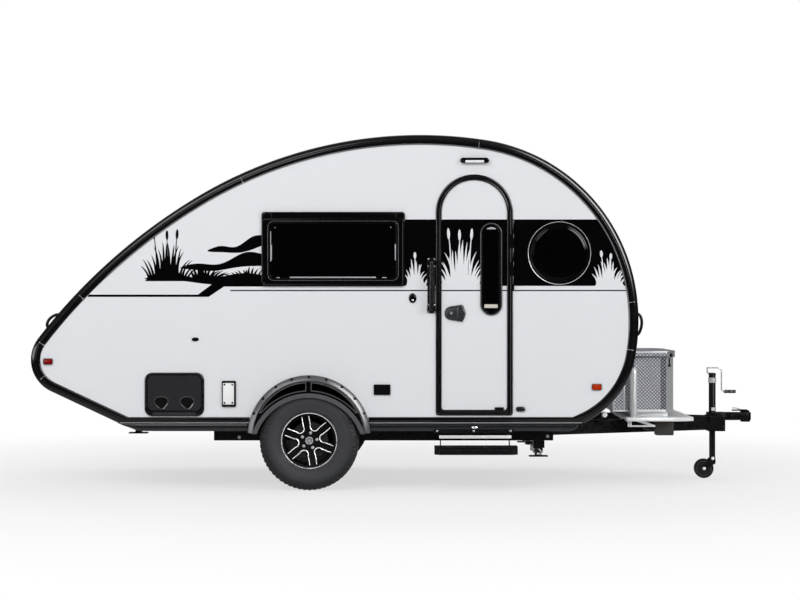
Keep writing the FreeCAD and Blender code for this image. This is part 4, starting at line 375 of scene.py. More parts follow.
# bright steel, also used for a painted glint on the vent scoops
STEEL_AND_GLINT = surface("bright_steel", (0.78, 0.785, 0.79), 0.26, metal=0.9, vary=0.06, vary_scale=25.0,
    grain=700.0, grain_depth=0.00002)
ZINC = surface("zinc_grey", (0.36, 0.365, 0.38), 0.38, metal=0.6, vary=0.12, vary_scale=25.0, grain=600.0,
    grain_depth=0.00004)
SMOOTH = surface("smooth_aluminium", (0.86, 0.865, 0.87), 0.32, metal=0.2, vary=0.03, vary_scale=6.0,
    grain=500.0, grain_depth=0.00001, rough_vary=0.12)
PALE = surface("pale_aluminium", (0.54, 0.545, 0.54), 0.36, metal=0.3, vary=0.04, vary_scale=10.0,
    grain=420.0, grain_depth=0.00002, rough_vary=0.12)
WHITE_PLASTIC = surface("white_plastic", (0.9, 0.9, 0.895), 0.35, vary=0.02, grain=900.0)
CREAM = surface("blind_cream", (0.6, 0.56, 0.5), 0.6, vary=0.05, grain=1200.0, shine=0.3)
BRONZE = surface("case_brown", (0.022, 0.0175, 0.014), 0.42, vary=0.2, vary_scale=20.0, grain=900.0,
    shine=0.4)
# latch grey, also used for a painted glint on the door's pane
LATCH_AND_GLINT = surface("latch_and_glint_grey", (0.38, 0.385, 0.4), 0.4, vary=0.15, vary_scale=30.0, grain=900.0)
DECAL_BLACK = surface("film_black", (0.0016, 0.0016, 0.002), 0.16, vary=0.1, vary_scale=3.0, grain=420.0,
    grain_depth=0.00001, wave=0.0008, shine=0.1)
DECAL_WHITE = surface("film_white", **WHITE_LOOK)
DECAL_GREY = surface("film_grey", (0.016, 0.017, 0.02), 0.3, vary=0.05, grain=420.0, shine=0.2)
RED = lens_surface("red_lens", (0.25, 0.0008, 0.0008))
AMBER = lens_surface("amber_lens", (0.5, 0.03, 0.0012))
CLEAR = lens_surface("clear_lens", (0.88, 0.89, 0.91), 300.0)

STABILISERS = tuple(f"stabiliser_{end}_{label}" for end in ("front", "rear") for side, label in SIDES)

NODE_MATERIALS = {
    WHITE: ("side_wall_right", "side_wall_left", "roof_panel", "front_panel", "rear_panel", "door_leaf"),
    UNDER: ("floor_panel", "wheel_wells"),
    TRIM: ("edge_trim", "door_frame", "door_mouldings"),
    GLOSS: ("window_frames",),
    SKIRT: ("side_skirts",),
    GLASS: ("window_panes", "front_window", "rear_window", "door_window"),
    WHITE_PLASTIC: ("roof_vent_base", "roof_vent_lid"),
    PLASTIC: ("door_handle", "side_vents", "grab_handles", "assist_handle", "plate_holder",
              "equipment_box", "caster_wheel", "step_tread"),
    FLARE: ("fenders",),
    CHASSIS: ("axle_beam", "trailing_arms", "chassis_rails", "crossmembers", "drawbar_right",
              "drawbar_left", "coupler", "jack_tube", "jack_leg", "caster_fork", "stabiliser_mounts",
              *STABILISERS, "step_bracket", "step_arms"),
    RUBBER: ("tyre_right", "tyre_left"),
    RIM: ("rim_right", "rim_left"),
    DRUM: ("hub_right", "hub_left"),
    PLATE: ("tongue_box", "box_lid"),
    SMOOTH: ("cargo_deck", "deck_brackets"),
    ZINC: ("jack_crank",),
    RED: ("rear_lamps",),
    AMBER: ("front_lamps",),
    CLEAR: ("porch_light",),
}

# the usual slot name for each material, looked up when a piece is made
USUAL_SLOT = {material: slot for slot, materials in {
    "white_panel": (WHITE, DECAL_WHITE),
    "black_trim": (TRIM, GLOSS, BEAD, SEAL_SHEEN, LATCH_AND_GLINT, DECAL_BLACK, DECAL_GREY),
    "grey_skirt": (SKIRT,),
    "dark_glass": (GLASS, CREAM),
    "black_plastic": (PLASTIC, SATIN, SHADE_AND_SEAM, MESH, FLARE, BRONZE),
    "chassis_black": (CHASSIS,),
    "bright_steel": (BOLT, STEEL_AND_GLINT, ZINC, SMOOTH, PALE),
    "white_plastic": (WHITE_PLASTIC,),
    "tyre": (RUBBER,),
    "rim": (RIM, MACHINED),
    "plate": (PLATE, PLATE_SHADED),
    "red_lens": (RED,),
    "amber_lens": (AMBER,),
    "clear_lens": (CLEAR,),
}.items() for material in materials}


def paint_nodes():
    for material, names in NODE_MATERIALS.items():
        for name in names:
            mesh = NODES[name].data
            mesh.materials.clear()
            mesh.materials.append(material)


# ---------------------------------------------------------------- making pieces

def finish_piece(name, mesh, material, body="trailer", finish=None, smooth=30.0):
    """A mesh in the frame's own space becomes a piece that rides on a body. Its slot, finish or else the
    usual one for its material, is looked up but not given to it."""
    finish = finish or USUAL_SLOT[material]
    piece = bpy.data.objects.new(name, mesh)
    bpy.context.scene.collection.objects.link(piece)
    mesh.materials.append(material)
    if smooth:
        for polygon in mesh.polygons:
            polygon.use_smooth = True
        mesh.set_sharp_from_angle(angle=radians(smooth))
    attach(piece, body)
    return piece


def faces_between(rows, count, ring=True, loop=False, caps=(), base=0):
    """Faces between rows of count points each. ring closes each row, loop joins the last row to the
    first, and caps are the rows that get a flat end."""
    faces = []
    for row in range(rows if loop else rows - 1):
        here, there = base + row * count, base + (row + 1) % rows * count
        for index in range(count if ring else count - 1):
            after = (index + 1) % count
            faces.append((here + index, here + after, there + after, there + index))
    return faces + [tuple(range(base + row * count, base + (row + 1) * count)) for row in caps]


def mesh_piece(name, verts, faces, material, body="trailer", finish=None, smooth=30.0, weld=False):
    mesh = bpy.data.meshes.new(name)
    mesh.from_pydata([tuple(vert) for vert in verts], [], faces)
    work = bmesh.new()
    work.from_mesh(mesh)
    if weld:
        bmesh.ops.remove_doubles(work, verts=work.verts, dist=0.00001)
    bmesh.ops.recalc_face_normals(work, faces=work.faces)
    work.to_mesh(mesh)
    work.free()
    return finish_piece(name, mesh, material, body, finish, smooth)


def carried(name, rows, material, body="trailer", finish=None, smooth=30.0):
    """A closed section carried from row to row, with flat ends."""
    verts = [vert for row in rows for vert in row]
    faces = faces_between(len(rows), len(rows[0]), caps=(0, len(rows) - 1))
    return mesh_piece(name, verts, faces, material, body, finish, smooth)


def lay_spline(curve, points, closed=True):
    spline = curve.splines.new("POLY")
    spline.points.add(len(points) - 1)
    for target, point in zip(spline.points, points):
        target.co = (*point, 1)
    spline.use_cyclic_u = closed


def mesh_from(name, curve):
    holder = bpy.data.objects.new(name + "_curve", curve)
    bpy.context.scene.collection.objects.link(holder)
    graph = bpy.context.evaluated_depsgraph_get()
    mesh = bpy.data.meshes.new_from_object(holder.evaluated_get(graph))
    bpy.data.objects.remove(holder)
    mesh.materials.clear()
    return mesh


def film(name, loops, y, material, body="trailer", finish=None, depth=DECAL):
    """A flat film in the XZ plane at y, from an outline and its holes, depth thick away from the wall."""
    curve = bpy.data.curves.new(name, "CURVE")
    curve.dimensions = "2D"
    curve.fill_mode = "BOTH"
    curve.extrude = depth / 2
    for loop in loops:
        lay_spline(curve, [(x, z, 0) for x, z in loop])
    mesh = mesh_from(name, curve)
    middle = y + copysign(depth / 2, y)
    mesh.transform(Matrix(((1, 0, 0, 0), (0, 0, -1, middle), (0, 1, 0, 0), (0, 0, 0, 1))))
    return finish_piece(name, mesh, material, body, finish, None)


def lathe(name, profile, centre, axis, material, body="trailer", finish=None, steps=72):
    """A profile of (along, radius) points turned round an axis through centre."""
    along = Vector(axis).normalized()
    side = along.orthogonal().normalized()
    up = along.cross(side)
    verts = []
    for step in range(steps):
        turn = 2 * pi * step / steps
        spoke = side * cos(turn) + up * sin(turn)
        verts.extend(Vector(centre) + along * reach + spoke * radius for reach, radius in profile)
    faces = faces_between(steps, len(profile), ring=False, loop=True)
    return mesh_piece(name, verts, faces, material, body, finish, weld=True)


def tube(name, points, radius, material, finish=None, closed=False, sides=6, bend=None):
    """A round bar through the points, with its corners rounded where bend is given."""
    route = [Vector(point) for point in points]
    if bend:
        eased = [route[0]]
        for before, corner, after in zip(route, route[1:], route[2:]):
            start = corner + (before - corner).normalized() * bend
            stop = corner + (after - corner).normalized() * bend
            for step in range(7):
                t = step / 6
                eased.append(start * (1 - t) ** 2 + corner * 2 * t * (1 - t) + stop * t * t)
        route = eased + [route[-1]]
    curve = bpy.data.curves.new(name, "CURVE")
    curve.dimensions = "3D"
    curve.bevel_depth = radius
    curve.bevel_resolution = sides
    curve.use_fill_caps = True
    lay_spline(curve, route, closed)
    return finish_piece(name, mesh_from(name, curve), material, finish=finish, smooth=40.0)


def block(name, low, high, material, body="trailer", finish=None, edge=0.002, steps=3):
    """A box between two corners with rounded edges."""
    work = bmesh.new()
    bmesh.ops.create_cube(work, size=1.0)
    low, high = Vector(low), Vector(high)
    for vert in work.verts:
        vert.co = Vector((low[i] + (vert.co[i] + 0.5) * (high[i] - low[i]) for i in range(3)))
    bmesh.ops.bevel(work, geom=work.edges[:], offset=edge, segments=steps, affect="EDGES", profile=0.5)
    mesh = bpy.data.meshes.new(name)
    work.to_mesh(mesh)
    work.free()
    return finish_piece(name, mesh, material, body, finish)


def heads(name, centres, axis, radius, tall, material, body="trailer", finish=None, sides=6, dome=True):
    """Bolt or screw heads: six-sided or round, with a washer, all in one piece."""
    along = Vector(axis).normalized()
    side = along.orthogonal().normalized()
    up = along.cross(side)
    verts, faces = [], []

    def drum(centre, start, stop, first, second, count, phase=0.0):
        faces.extend(faces_between(2, count, caps=(1,), base=len(verts)))
        for reach, size in ((start, first), (stop, second)):
            for step in range(count):
                turn = 2 * pi * step / count + phase
                verts.append(centre + along * reach + (side * cos(turn) + up * sin(turn)) * size)

    for index, centre in enumerate(map(Vector, centres)):
        drum(centre, 0.0, tall * 0.25, radius * 1.35, radius * 1.3, 20)
        drum(centre, tall * 0.25, tall * 0.85, radius, radius, sides, index * 0.7)
        if dome:
            drum(centre, tall * 0.85, tall, radius * 0.93, radius * 0.6, 16)
    return mesh_piece(name, verts, faces, material, body, finish, 25.0)


def arc_points(x, z, radius, begin, end, steps):
    """Points on an arc in the XZ plane, with both ends."""
    turns = [radians(begin + (end - begin) * step / steps) for step in range(steps + 1)]
    return [(x + radius * cos(turn), z + radius * sin(turn)) for turn in turns]


def oval(x, z, wide, tall, steps=96):
    turns = [2 * pi * step / steps for step in range(steps)]
    return [(x + wide * cos(turn), z + tall * sin(turn)) for turn in turns]


def rounded(x0, x1, z0, z1, corner, steps=10):
    """A rectangle with rounded corners."""
    return (arc_points(x1 - corner, z1 - corner, corner, 0, 90, steps)
            + arc_points(x0 + corner, z1 - corner, corner, 90, 180, steps)
            + arc_points(x0 + corner, z0 + corner, corner, 180, 270, steps)
            + arc_points(x1 - corner, z0 + corner, corner, 270, 360, steps))


def inside(box, edge, corner, steps=10):
    """The rounded rectangle that lies edge inside a box of (x0, x1, z0, z1)."""
    x0, x1, z0, z1 = box
    return rounded(x0 + edge, x1 - edge, z0 + edge, z1 - edge, corner, steps)


# ---------------------------------------------------------------- stage

def ray_gate(tree, *kinds):
    """1 for rays of these kinds, 0 for the rest."""
    path = tree.nodes.new("ShaderNodeLightPath")
    total = Value(tree, path.outputs[kinds[0]])
    for kind in kinds[1:]:
        total = total.do("MAXIMUM", Value(tree, path.outputs[kind]))
    return total


def mix_shaders(tree, factor, first, second):
    mix = tree.nodes.new("ShaderNodeMixShader")
    for index, source in enumerate((factor.socket, first.outputs[0], second.outputs[0])):
        tree.links.new(source, mix.inputs[index])
    return mix


SEEN = ("Is Camera Ray", "Is Glossy Ray", "Is Transmission Ray")


def make_world():
    """White behind everything that is seen, a plain soft light on everything that is lit."""
    scene = bpy.context.scene
    world = scene.world or bpy.data.worlds.new("World")
    scene.world = world
    world.use_nodes = True
    tree = world.node_tree
    tree.nodes.clear()
    output = tree.nodes.new("ShaderNodeOutputWorld")
    lit = tree.nodes.new("ShaderNodeBackground")
    lit.inputs["Color"].default_value = (0.97, 0.985, 1.0, 1)
    lit.inputs["Strength"].default_value = WORLD_LIGHT
    seen = tree.nodes.new("ShaderNodeBackground")
    seen.inputs["Color"].default_value = (1, 1, 1, 1)
    # what shines sees a dim horizon, a bright ceiling and a soft box to either side, as in a studio
    place = tree.nodes.new("ShaderNodeTexCoord")
    split = tree.nodes.new("ShaderNodeSeparateXYZ")
    link(tree, place, "Generated", split, "Vector")
    boxed = Value(tree, ramp(tree, split, "Z", HORIZON, CEILING, 0.12, 0.75).outputs["Result"])
    for panel, *edges in SOFT_BOXES:
        for axis, start, stop in edges:
            fade = ramp(tree, split, axis, 0.0, 1.0, start, stop)
            panel = Value(tree, fade.outputs["Result"]) * panel
        boxed = boxed + panel
    choose = tree.nodes.new("ShaderNodeMix")
    tree.links.new(ray_gate(tree, "Is Glossy Ray").socket, choose.inputs["Factor"])
    choose.inputs["A"].default_value = 1.0
    tree.links.new(boxed.socket, choose.inputs["B"])
    link(tree, choose, "Result", seen, "Strength")
    link(tree, mix_shaders(tree, ray_gate(tree, *SEEN), lit, seen), 0, output, "Surface")


def make_floor():
    bpy.ops.mesh.primitive_plane_add(size=120, location=(0, 0, -0.0005))
    floor = bpy.context.object
    floor.name = "floor"
    material, tree, shader, place = nodes_of("floor")
    shader.inputs["Base Color"].default_value = (0.73, 0.73, 0.73, 1)
    shader.inputs["Roughness"].default_value = 0.9
    shader.inputs["Specular IOR Level"].default_value = 0.1
    grit = noise(tree, place, 60.0, 4.0, 0.6)
    bump(tree, shader, grit, "Fac", 0.1, 0.0004)
    reach = tree.nodes.new("ShaderNodeVectorMath")
    reach.operation = "LENGTH"
    link(tree, place, "Object", reach, 0)
    glow = []
    for strength in (1.0, HORIZON):
        glow.append(tree.nodes.new("ShaderNodeEmission"))
        glow[-1].inputs["Strength"].default_value = strength
    white = Value(tree, ramp(tree, reach, "Value", FLOOR_HAZE, 1.0, 3.0, 6.2).outputs["Result"])
    near = mix_shaders(tree, white * ray_gate(tree, *SEEN), shader, glow[0])
    # far off, what shines sees a dark floor, so that black gloss stays black
    dark = Value(tree, ramp(tree, reach, "Value", 0.0, 0.96, 2.9, 5.0).outputs["Result"])
    last = mix_shaders(tree, dark * ray_gate(tree, "Is Glossy Ray"), near, glow[1])
    link(tree, last, 0, tree.nodes["Material Output"], "Surface")
    floor.data.materials.append(material)


WORLD_LIGHT = 0.46
HORIZON, CEILING = 0.03, 0.32
# soft boxes seen in what shines: strength, then each edge as an axis with where it starts and is full
SOFT_BOXES = (
    (20.0, ("X", 0.26, 0.36), ("X", 0.93, 0.84), ("Z", 0.1, 0.2), ("Z", 0.86, 0.76), ("Y", -0.88, -0.8),
     ("Y", -0.54, -0.64)),
    (7.0, ("X", -0.36, -0.48), ("X", -0.96, -0.88), ("Z", -0.16, -0.06), ("Z", 0.3, 0.2),
     ("Y", -0.86, -0.76), ("Y", -0.1, -0.24)),
)
FLOOR_HAZE = 0.64        # how much of the floor is plain white, which lightens the shadow

# name, place, aim, size, power
LAMPS = (
    ("key", (-4.5, -9.0, 7.0), (0.0, 0.0, 1.0), (7.0, 4.0), 455.0),
    ("fill", (7.5, -8.0, 5.5), (0.5, 0.0, 1.2), (4.0, 4.0), 268.0),
    ("overhead", (0.0, 1.0, 9.0), (0.0, 0.0, 0.0), (10.0, 7.0), 120.0),
    ("behind", (0.0, 5.0, 9.5), (0.0, 0.0, 1.0), (9.0, 4.0), 190.0),
)

# level camera square to the right side: focal length and sensor width in mm, and its place
CAMERA_LENS, CAMERA_SENSOR = 90.9, 36.0
CAMERA_PLACE = (-0.018, -15.925, 1.402)


def make_stage():
    scene = bpy.context.scene
    scene.view_settings.view_transform = "Standard"
    make_world()
    make_floor()
    for name, place, aim, size, power in LAMPS:
        lamp = bpy.data.lights.new(name, "AREA")
        lamp.shape = "RECTANGLE"
        lamp.size, lamp.size_y = size
        lamp.energy = power
        holder = bpy.data.objects.new(name, lamp)
        holder.location = place
        holder.rotation_euler = (Vector(aim) - Vector(place)).to_track_quat("-Z", "Y").to_euler()
        scene.collection.objects.link(holder)
    lens = bpy.data.cameras.new("camera")
    lens.lens = CAMERA_LENS
    lens.sensor_width = CAMERA_SENSOR
    lens.clip_end = 300.0
    camera = bpy.data.objects.new("camera", lens)
    camera.location = CAMERA_PLACE
    camera.rotation_euler = (radians(90), 0, 0)
    scene.collection.objects.link(camera)
    scene.camera = camera


# ---------------------------------------------------------------- softened edges on CAD nodes

# width of the rounding, and the nodes that get it
ROUNDED = (
    (0.0035, ("door_frame", "door_mouldings", "window_frames", "assist_handle", "equipment_box")),
    (0.0025, ("fenders", "side_vents", "grab_handles", "jack_tube", "coupler", "caster_fork", "step_tread",
              "roof_vent_lid", "roof_vent_base", "tongue_box", "box_lid", "cargo_deck", "deck_brackets",
              "plate_holder")),
    (0.0015, ("chassis_rails", "drawbar_right", "drawbar_left", "axle_beam", "trailing_arms",
              "stabiliser_mounts", *STABILISERS, "step_bracket", "step_arms", "rim_right", "rim_left",
              "caster_wheel", "crossmembers")),
)


def soften_nodes():
    for width, names in ROUNDED:
        for name in names:
            thing = NODES[name]
            weld = thing.modifiers.new("weld", "WELD")
            weld.merge_threshold = 0.00002
            flat = thing.modifiers.new("flat", "DECIMATE")
            flat.decimate_type = "DISSOLVE"
            flat.angle_limit = radians(0.4)
            edge = thing.modifiers.new("edge", "BEVEL")
            edge.width = width
            edge.segments = 3
            edge.limit_method = "ANGLE"
            edge.angle_limit = radians(38)
            edge.use_clamp_overlap = True
            edge.harden_normals = False


# ---------------------------------------------------------------- body

TRIM_WIDE, TRIM_LOW, TRIM_FOOT = 0.073, 0.493, 0.044
ARCH_X, ARCH_Z, FENDER_R = -0.6895, 0.392, 0.455

# joints in the trim: arc and heading, and half the width and the depth of each
SEAMS = (("tail", -128.0), ("tail", -56.0), ("back", -46.4), ("roof", -24.7), ("roof", 7.9),
         ("prow", 84.3), ("prow", 98.7))
SEAM_HALF, SEAM_DEPTH = 0.0022, 0.0035


def mitre(out):
    """The way out at the corner between a run that faces out and the level run along the bottom."""
    drop = TRIM_FOOT / TRIM_WIDE
    return Vector(((1 + drop * out.z) / out.x, 0, -drop))


def trim_path():
    """The trim's run on one side, from the rear of the fender round the body to its front: each
    point, the way out there, and how far the face is sunk at a joint."""
    foot = Vector((0, 0, -TRIM_FOOT / TRIM_WIDE))
    half = sqrt(FENDER_R ** 2 - (TRIM_LOW - ARCH_Z) ** 2) - 0.004
    tail = arc_point("tail", BELLY)
    rear_x = tail.x + (tail.z - TRIM_LOW) / tan(pi + radians(BELLY))
    path = [(Vector((ARCH_X - half, 0, TRIM_LOW)), foot, 0.0),
            (Vector((rear_x, 0, TRIM_LOW)), mitre(facing(BELLY)), 0.0)]
    z, radius = ARCS["chin"][1:]
    last = degrees(acos((TRIM_LOW - z) / radius))
    joints = {}
    for arc, heading in SEAMS:
        joints.setdefault(arc, []).append(heading)
    runs = (
        ("tail", BELLY, -52.45, 36),
        ("back", -52.45, -30.45, 40),
        ("roof", -30.45, 8.6, 48),
        ("brow", 8.6, 78.4, 48),
        ("prow", 78.4, 100.5, 18),
        ("chin", 100.5, last, 34),
    )
    for arc, start, stop, steps in runs:
        places = [(start + (stop - start) * step / steps, 0.0) for step in range(steps)]
        for heading in joints.get(arc, ()):
            gap = degrees(SEAM_HALF / ARCS[arc][2])
            places = [item for item in places if abs(item[0] - heading) > gap * 3]
            places += [(heading - gap * 1.4, 0.0), (heading - gap, SEAM_DEPTH),
                       (heading + gap, SEAM_DEPTH), (heading + gap * 1.4, 0.0)]
        for heading, sunk in sorted(places):
            path.append((arc_point(arc, heading), facing(heading), sunk))
    path.append((arc_point("chin", last), mitre(facing(last)), 0.0))
    path.append((Vector((ARCH_X + half, 0, TRIM_LOW)), foot, 0.0))
    return path


# across the trim, from its inner edge to its lap over the skin: inset from the outline, off the wall
TRIM_SECTION = ((0.073, 0.0), (0.0722, 0.0034), (0.07, 0.0062), (0.0665, 0.008), (0.06, 0.009),
    (0.04, 0.0098), (0.0385, 0.0092), (0.0372, 0.0078), (0.0358, 0.0078), (0.0345, 0.01), (0.032, 0.0119),
    (0.0285, 0.0115), (0.0245, 0.0101), (0.02, 0.0082), (0.0155, 0.006), (0.011, 0.0035), (0.006, 0.0009),
    (0.0035, -0.003), (0.0012, -0.0085), (0.0, -0.016), (0.0, -0.045), (0.0016, -0.05), (0.0058, -0.052))


# a grey seal between the trim and the wall; its light grey is painted reflection of the trim's inner
# fillet, and it runs along the upper part only
SEAL_SHEEN_SECTION = ((0.0752, 0.0002), (0.0748, 0.0036), (0.073, 0.0066), (0.07, 0.0086), (0.0668, 0.0092),
    (0.0655, 0.007), (0.0655, 0.0002))


def run_round(name, path, section, side, material):
    """A section of (inset, off the wall) carried along a path round the outline."""
    rows = []
    for point, out, sunk in path:
        row = []
        for inset, proud in section:
            dip = sunk if proud > 0.002 else 0.0
            reach = inset + (sunk * 0.6 if inset < 0.004 else 0.0)
            row.append((point.x - out.x * reach, side * (WALL + proud - dip), point.z - out.z * reach))
        rows.append(row)
    return carried(name, rows, material, smooth=32.0)


def make_trim():
    """Rounded edge trim with a bead, a seal whose light grey is painted reflection, and joints, carried
    round the outline on both sides.
    """
    for side, label in SIDES:
        path = trim_path()
        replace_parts(run_round(f"edge_trim_{label}", path, TRIM_SECTION, side, TRIM), "edge_trim")
        # the seal and its painted reflection follow the upper part of the path only
        upper = [(point, out, 0.0) for point, out,
            sunk in path if point.z > 1.15 and (point.x > -1.9 or point.z > 1.6)]
        run_round(f"trim_seal_sheen_{label}", upper, SEAL_SHEEN_SECTION, side, SEAL_SHEEN)
        for index, (arc, heading) in enumerate(SEAMS):
            seat, out, along = skin_frame(arc, heading)
            rows = []
            for proud in (0.006, 0.0128):
                points = [seat - out * inset + along * step for inset, step in
                          ((0.069, -0.0018), (0.069, 0.0018), (0.026, 0.0018), (0.026, -0.0018))]
                rows.append([(point.x, side * (WALL + proud), point.z) for point in points])
            carried(f"trim_clip_{label}_{index}", rows, ZINC, smooth=None)
            ends = [seat - out * inset for inset in (0.0665, 0.029)]
            heads(f"trim_screws_{label}_{index}", [(end.x, side * (WALL + 0.009), end.z) for end in ends],
                (0, side, 0), 0.0042, 0.005, STEEL_AND_GLINT, sides=12, dome=False)


BAND_TOP, BAND_LOW = 1.997, 1.506
WINDOW = (-1.0405, 0.0185, 1.502, 2.052)      # frame of a side window: x0, x1, z0, z1


def front_edge(z):
    """Inner edge of the front trim at a height."""
    arc = "brow" if z > arc_point("prow", 78.4, 0.07).z else "prow"
    x, centre, radius = ARCS[arc]
    reach = radius - 0.066
    return x + sqrt(reach * reach - (z - centre) ** 2)


def slab(x0, x1, z0, z1):
    return [(x0, z0), (x1, z0), (x1, z1), (x0, z1)]


def make_graphics():
    """Window band, pinstripe and side stripe as thin films on the walls and the door leaf."""
    steps = [BAND_LOW + (BAND_TOP - BAND_LOW) * step / 24 for step in range(25)]
    porthole = oval(*PORTHOLE, 0.2285, 0.2285)
    line = (1.4675, 1.4765)
    stripe = [(-2.327, 1.425), (-1.432, 1.425), (-1.318, 1.501), (-1.03, 1.501), (-1.03, 1.524),
        (-1.4, 1.524), (-1.51, 1.442), (-2.316, 1.442)]
    for side, label in SIDES:
        face = side * WALL
        door_edge = 0.8135 if side == RIGHT else 0.012
        nose = [(door_edge, BAND_LOW)] + [(front_edge(z), z) for z in steps] + [(door_edge, BAND_TOP)]
        film(f"band_front_{label}", [nose, porthole], face, DECAL_BLACK)
        film(f"side_stripe_{label}", [stripe], face, DECAL_BLACK)
        rear_end = 0.2475 if side == RIGHT else front_edge(1.47)
        film(f"pinstripe_rear_{label}", [slab(-1.272, rear_end, *line)], face, DECAL_GREY)
    face = -WALL
    film("band_middle", [slab(0.012, 0.2475, BAND_LOW, BAND_TOP)], face, DECAL_BLACK)
    film("band_door", [[(0.2735, BAND_LOW), (0.59, BAND_LOW), (0.59, 1.9), (0.6555, 1.957), (0.721, 1.9),
        (0.721, BAND_LOW), (0.7875, BAND_LOW), (0.7875, BAND_TOP), (0.2735, BAND_TOP)]], face, DECAL_BLACK,
        "door")
    lines = (
        ("pinstripe_door_rear", 0.2735, 0.5893, "door"),
        ("pinstripe_door_front", 0.7217, 0.7875, "door"),
        ("pinstripe_front", 0.8135, front_edge(1.47), "trailer"),
    )
    for name, x0, x1, body in lines:
        film(name, [slab(x0, x1, *line)], face, DECAL_GREY, body)


def blade(foot, height, lean, wide, bow=0.0, steps=9):
    """One blade of grass as an outline that narrows to its tip."""
    x, z = foot
    spine, half = [], []
    for step in range(steps + 1):
        t = step / steps
        spine.append((x + lean * t * t + bow * sin(pi * t), z + height * t * (1 - 0.1 * t * t)))
        half.append(wide * 0.5 * (1 - t) ** 0.75 + 0.0008)
    left, right = [], []
    for index, (px, pz) in enumerate(spine):
        before = spine[max(0, index - 1)]
        after = spine[min(steps, index + 1)]
        along = Vector((after[0] - before[0], after[1] - before[1])).normalized()
        left.append((px - along.y * half[index], pz + along.x * half[index]))
        right.append((px + along.y * half[index], pz - along.x * half[index]))
    return right + left[::-1]


def reed(foot, height, lean, wide):
    """A stalk with a long seed head at its top."""
    x, z = foot
    tilt = lean * 0.9 / height
    head = [(x + lean * 0.72 + a + b * tilt, z + height * 0.8 + b - a * tilt)
            for a, b in oval(0, 0, wide * 0.62, height * 0.1, 16)]
    return [blade(foot, height, lean, wide * 0.7), head]


def cut_out(name, outlines, y, low, high, material, body="trailer"):
    """Flat outlines that may cross, as one thin film; nothing leaves the window from low to high."""
    verts, faces = [], []
    for index, outline in enumerate(outlines):
        faces += faces_between(2, len(outline), caps=(0,), base=len(verts))
        skin = y + copysign(DECAL * 0.5 + index * 0.00001, y)
        for depth in (skin, y):
            verts += [(min(max(x, low[0]), high[0]), depth, min(max(z, low[1]), high[1]))
                      for x, z in outline]
    return mesh_piece(name, verts, faces, material, body, smooth=None)


def clump(x0, x1, base, tall, seed, blades=16, reeds=2, peak=0.5):
    """Tall grass on a mound: blades highest near the peak, leaning away from it."""
    rng = random.Random(seed)
    wide = x1 - x0
    mound = [(x0 + wide * step / 20, base + tall * 0.2 * sin(pi * step / 20) ** 0.8) for step in range(21)]
    outlines = [mound + [(x1, base - 0.004), (x0, base - 0.004)]]
    for index in range(blades):
        t = (index + 0.5) / blades
        near = 1 - abs(t - peak) / max(peak, 1 - peak)
        height = tall * (0.34 + 0.66 * near ** 1.3) * rng.uniform(0.72, 1.0)
        lean = (t - peak) * wide * 0.55 + rng.uniform(-0.05, 0.05) * height
        foot = (x0 + wide * (0.06 + 0.88 * t), base + tall * 0.08 * sin(pi * t))
        outlines.append(blade(foot, height, lean, 0.016 + 0.012 * near, rng.uniform(-0.01, 0.01)))
    for index in range(reeds):
        t = peak + (index - (reeds - 1) / 2) * 0.22 + rng.uniform(-0.03, 0.03)
        foot = (x0 + wide * t, base + tall * 0.1)
        outlines += reed(foot, tall * rng.uniform(0.92, 1.05), (t - 0.5) * wide * 0.4, 0.017)
    return outlines


def hill(x0, x1, base, rise, thick, waves):
    """A solid band of rolling ground that thins out to its left end."""
    upper, lower = [], []
    for step in range(49):
        t = step / 48
        x = x0 + (x1 - x0) * t
        z = base + rise * t * t
        for height, pace, phase in waves:
            z += height * sin(pace * pi * t + phase) * min(1.0, t * 2.2)
        deep = thick * (0.06 + 0.94 * t ** 0.6)
        upper.append((x, z + deep * (0.55 + 0.25 * sin(3.1 * pi * t))))
        lower.append((x, z - deep * 0.45))
    return upper + lower[::-1]


def make_meadow():
    """Generic side graphic: rolling ground and tall grass, in the colours of the stripes."""
    for side, label in SIDES:
        face = side * WALL
        low, high = (-1.93, 1.47), (-1.036, 2.0)
        ground = [
            hill(-1.905, -1.036, 1.56, -0.02, 0.075, ((0.012, 2.2, 0.6),)),
            hill(-1.64, -1.036, 1.64, 0.06, 0.095, ((0.01, 2.4, 2.2),)),
            hill(-1.44, -1.036, 1.765, 0.07, 0.085, ((0.009, 2.0, 0.8),)),
        ]
        grass = clump(-1.9, -1.56, 1.545, 0.37, 3, 17, 3, 0.45)
        grass += clump(-1.56, -1.33, 1.56, 0.13, 8, 12, 0, 0.3)
        grass += clump(-1.29, -1.05, 1.545, 0.12, 5, 12, 0, 0.7)
        cut_out(f"meadow_dark_{label}", ground + grass, face, low, high, DECAL_BLACK)
        nose = clump(1.42, 1.64, BAND_LOW, 0.255, 14, 13, 2, 0.42)
        cut_out(f"meadow_nose_{label}", nose, face + side * DECAL, (1.4, BAND_LOW), (1.7, BAND_TOP),
            DECAL_WHITE)
    face = -WALL - DECAL
    cut_out("meadow_wall", clump(0.024, 0.18, BAND_LOW, 0.25, 11, 10, 1, 0.45), face, (0.021, BAND_LOW),
        (0.181, BAND_TOP), DECAL_WHITE)
    door = clump(0.276, 0.586, BAND_LOW, 0.42, 12, 22, 3, 0.5)
    cut_out("meadow_door", door, face, (0.2745, BAND_LOW), (0.588, BAND_TOP), DECAL_WHITE, "door")


# ---------------------------------------------------------------- windows

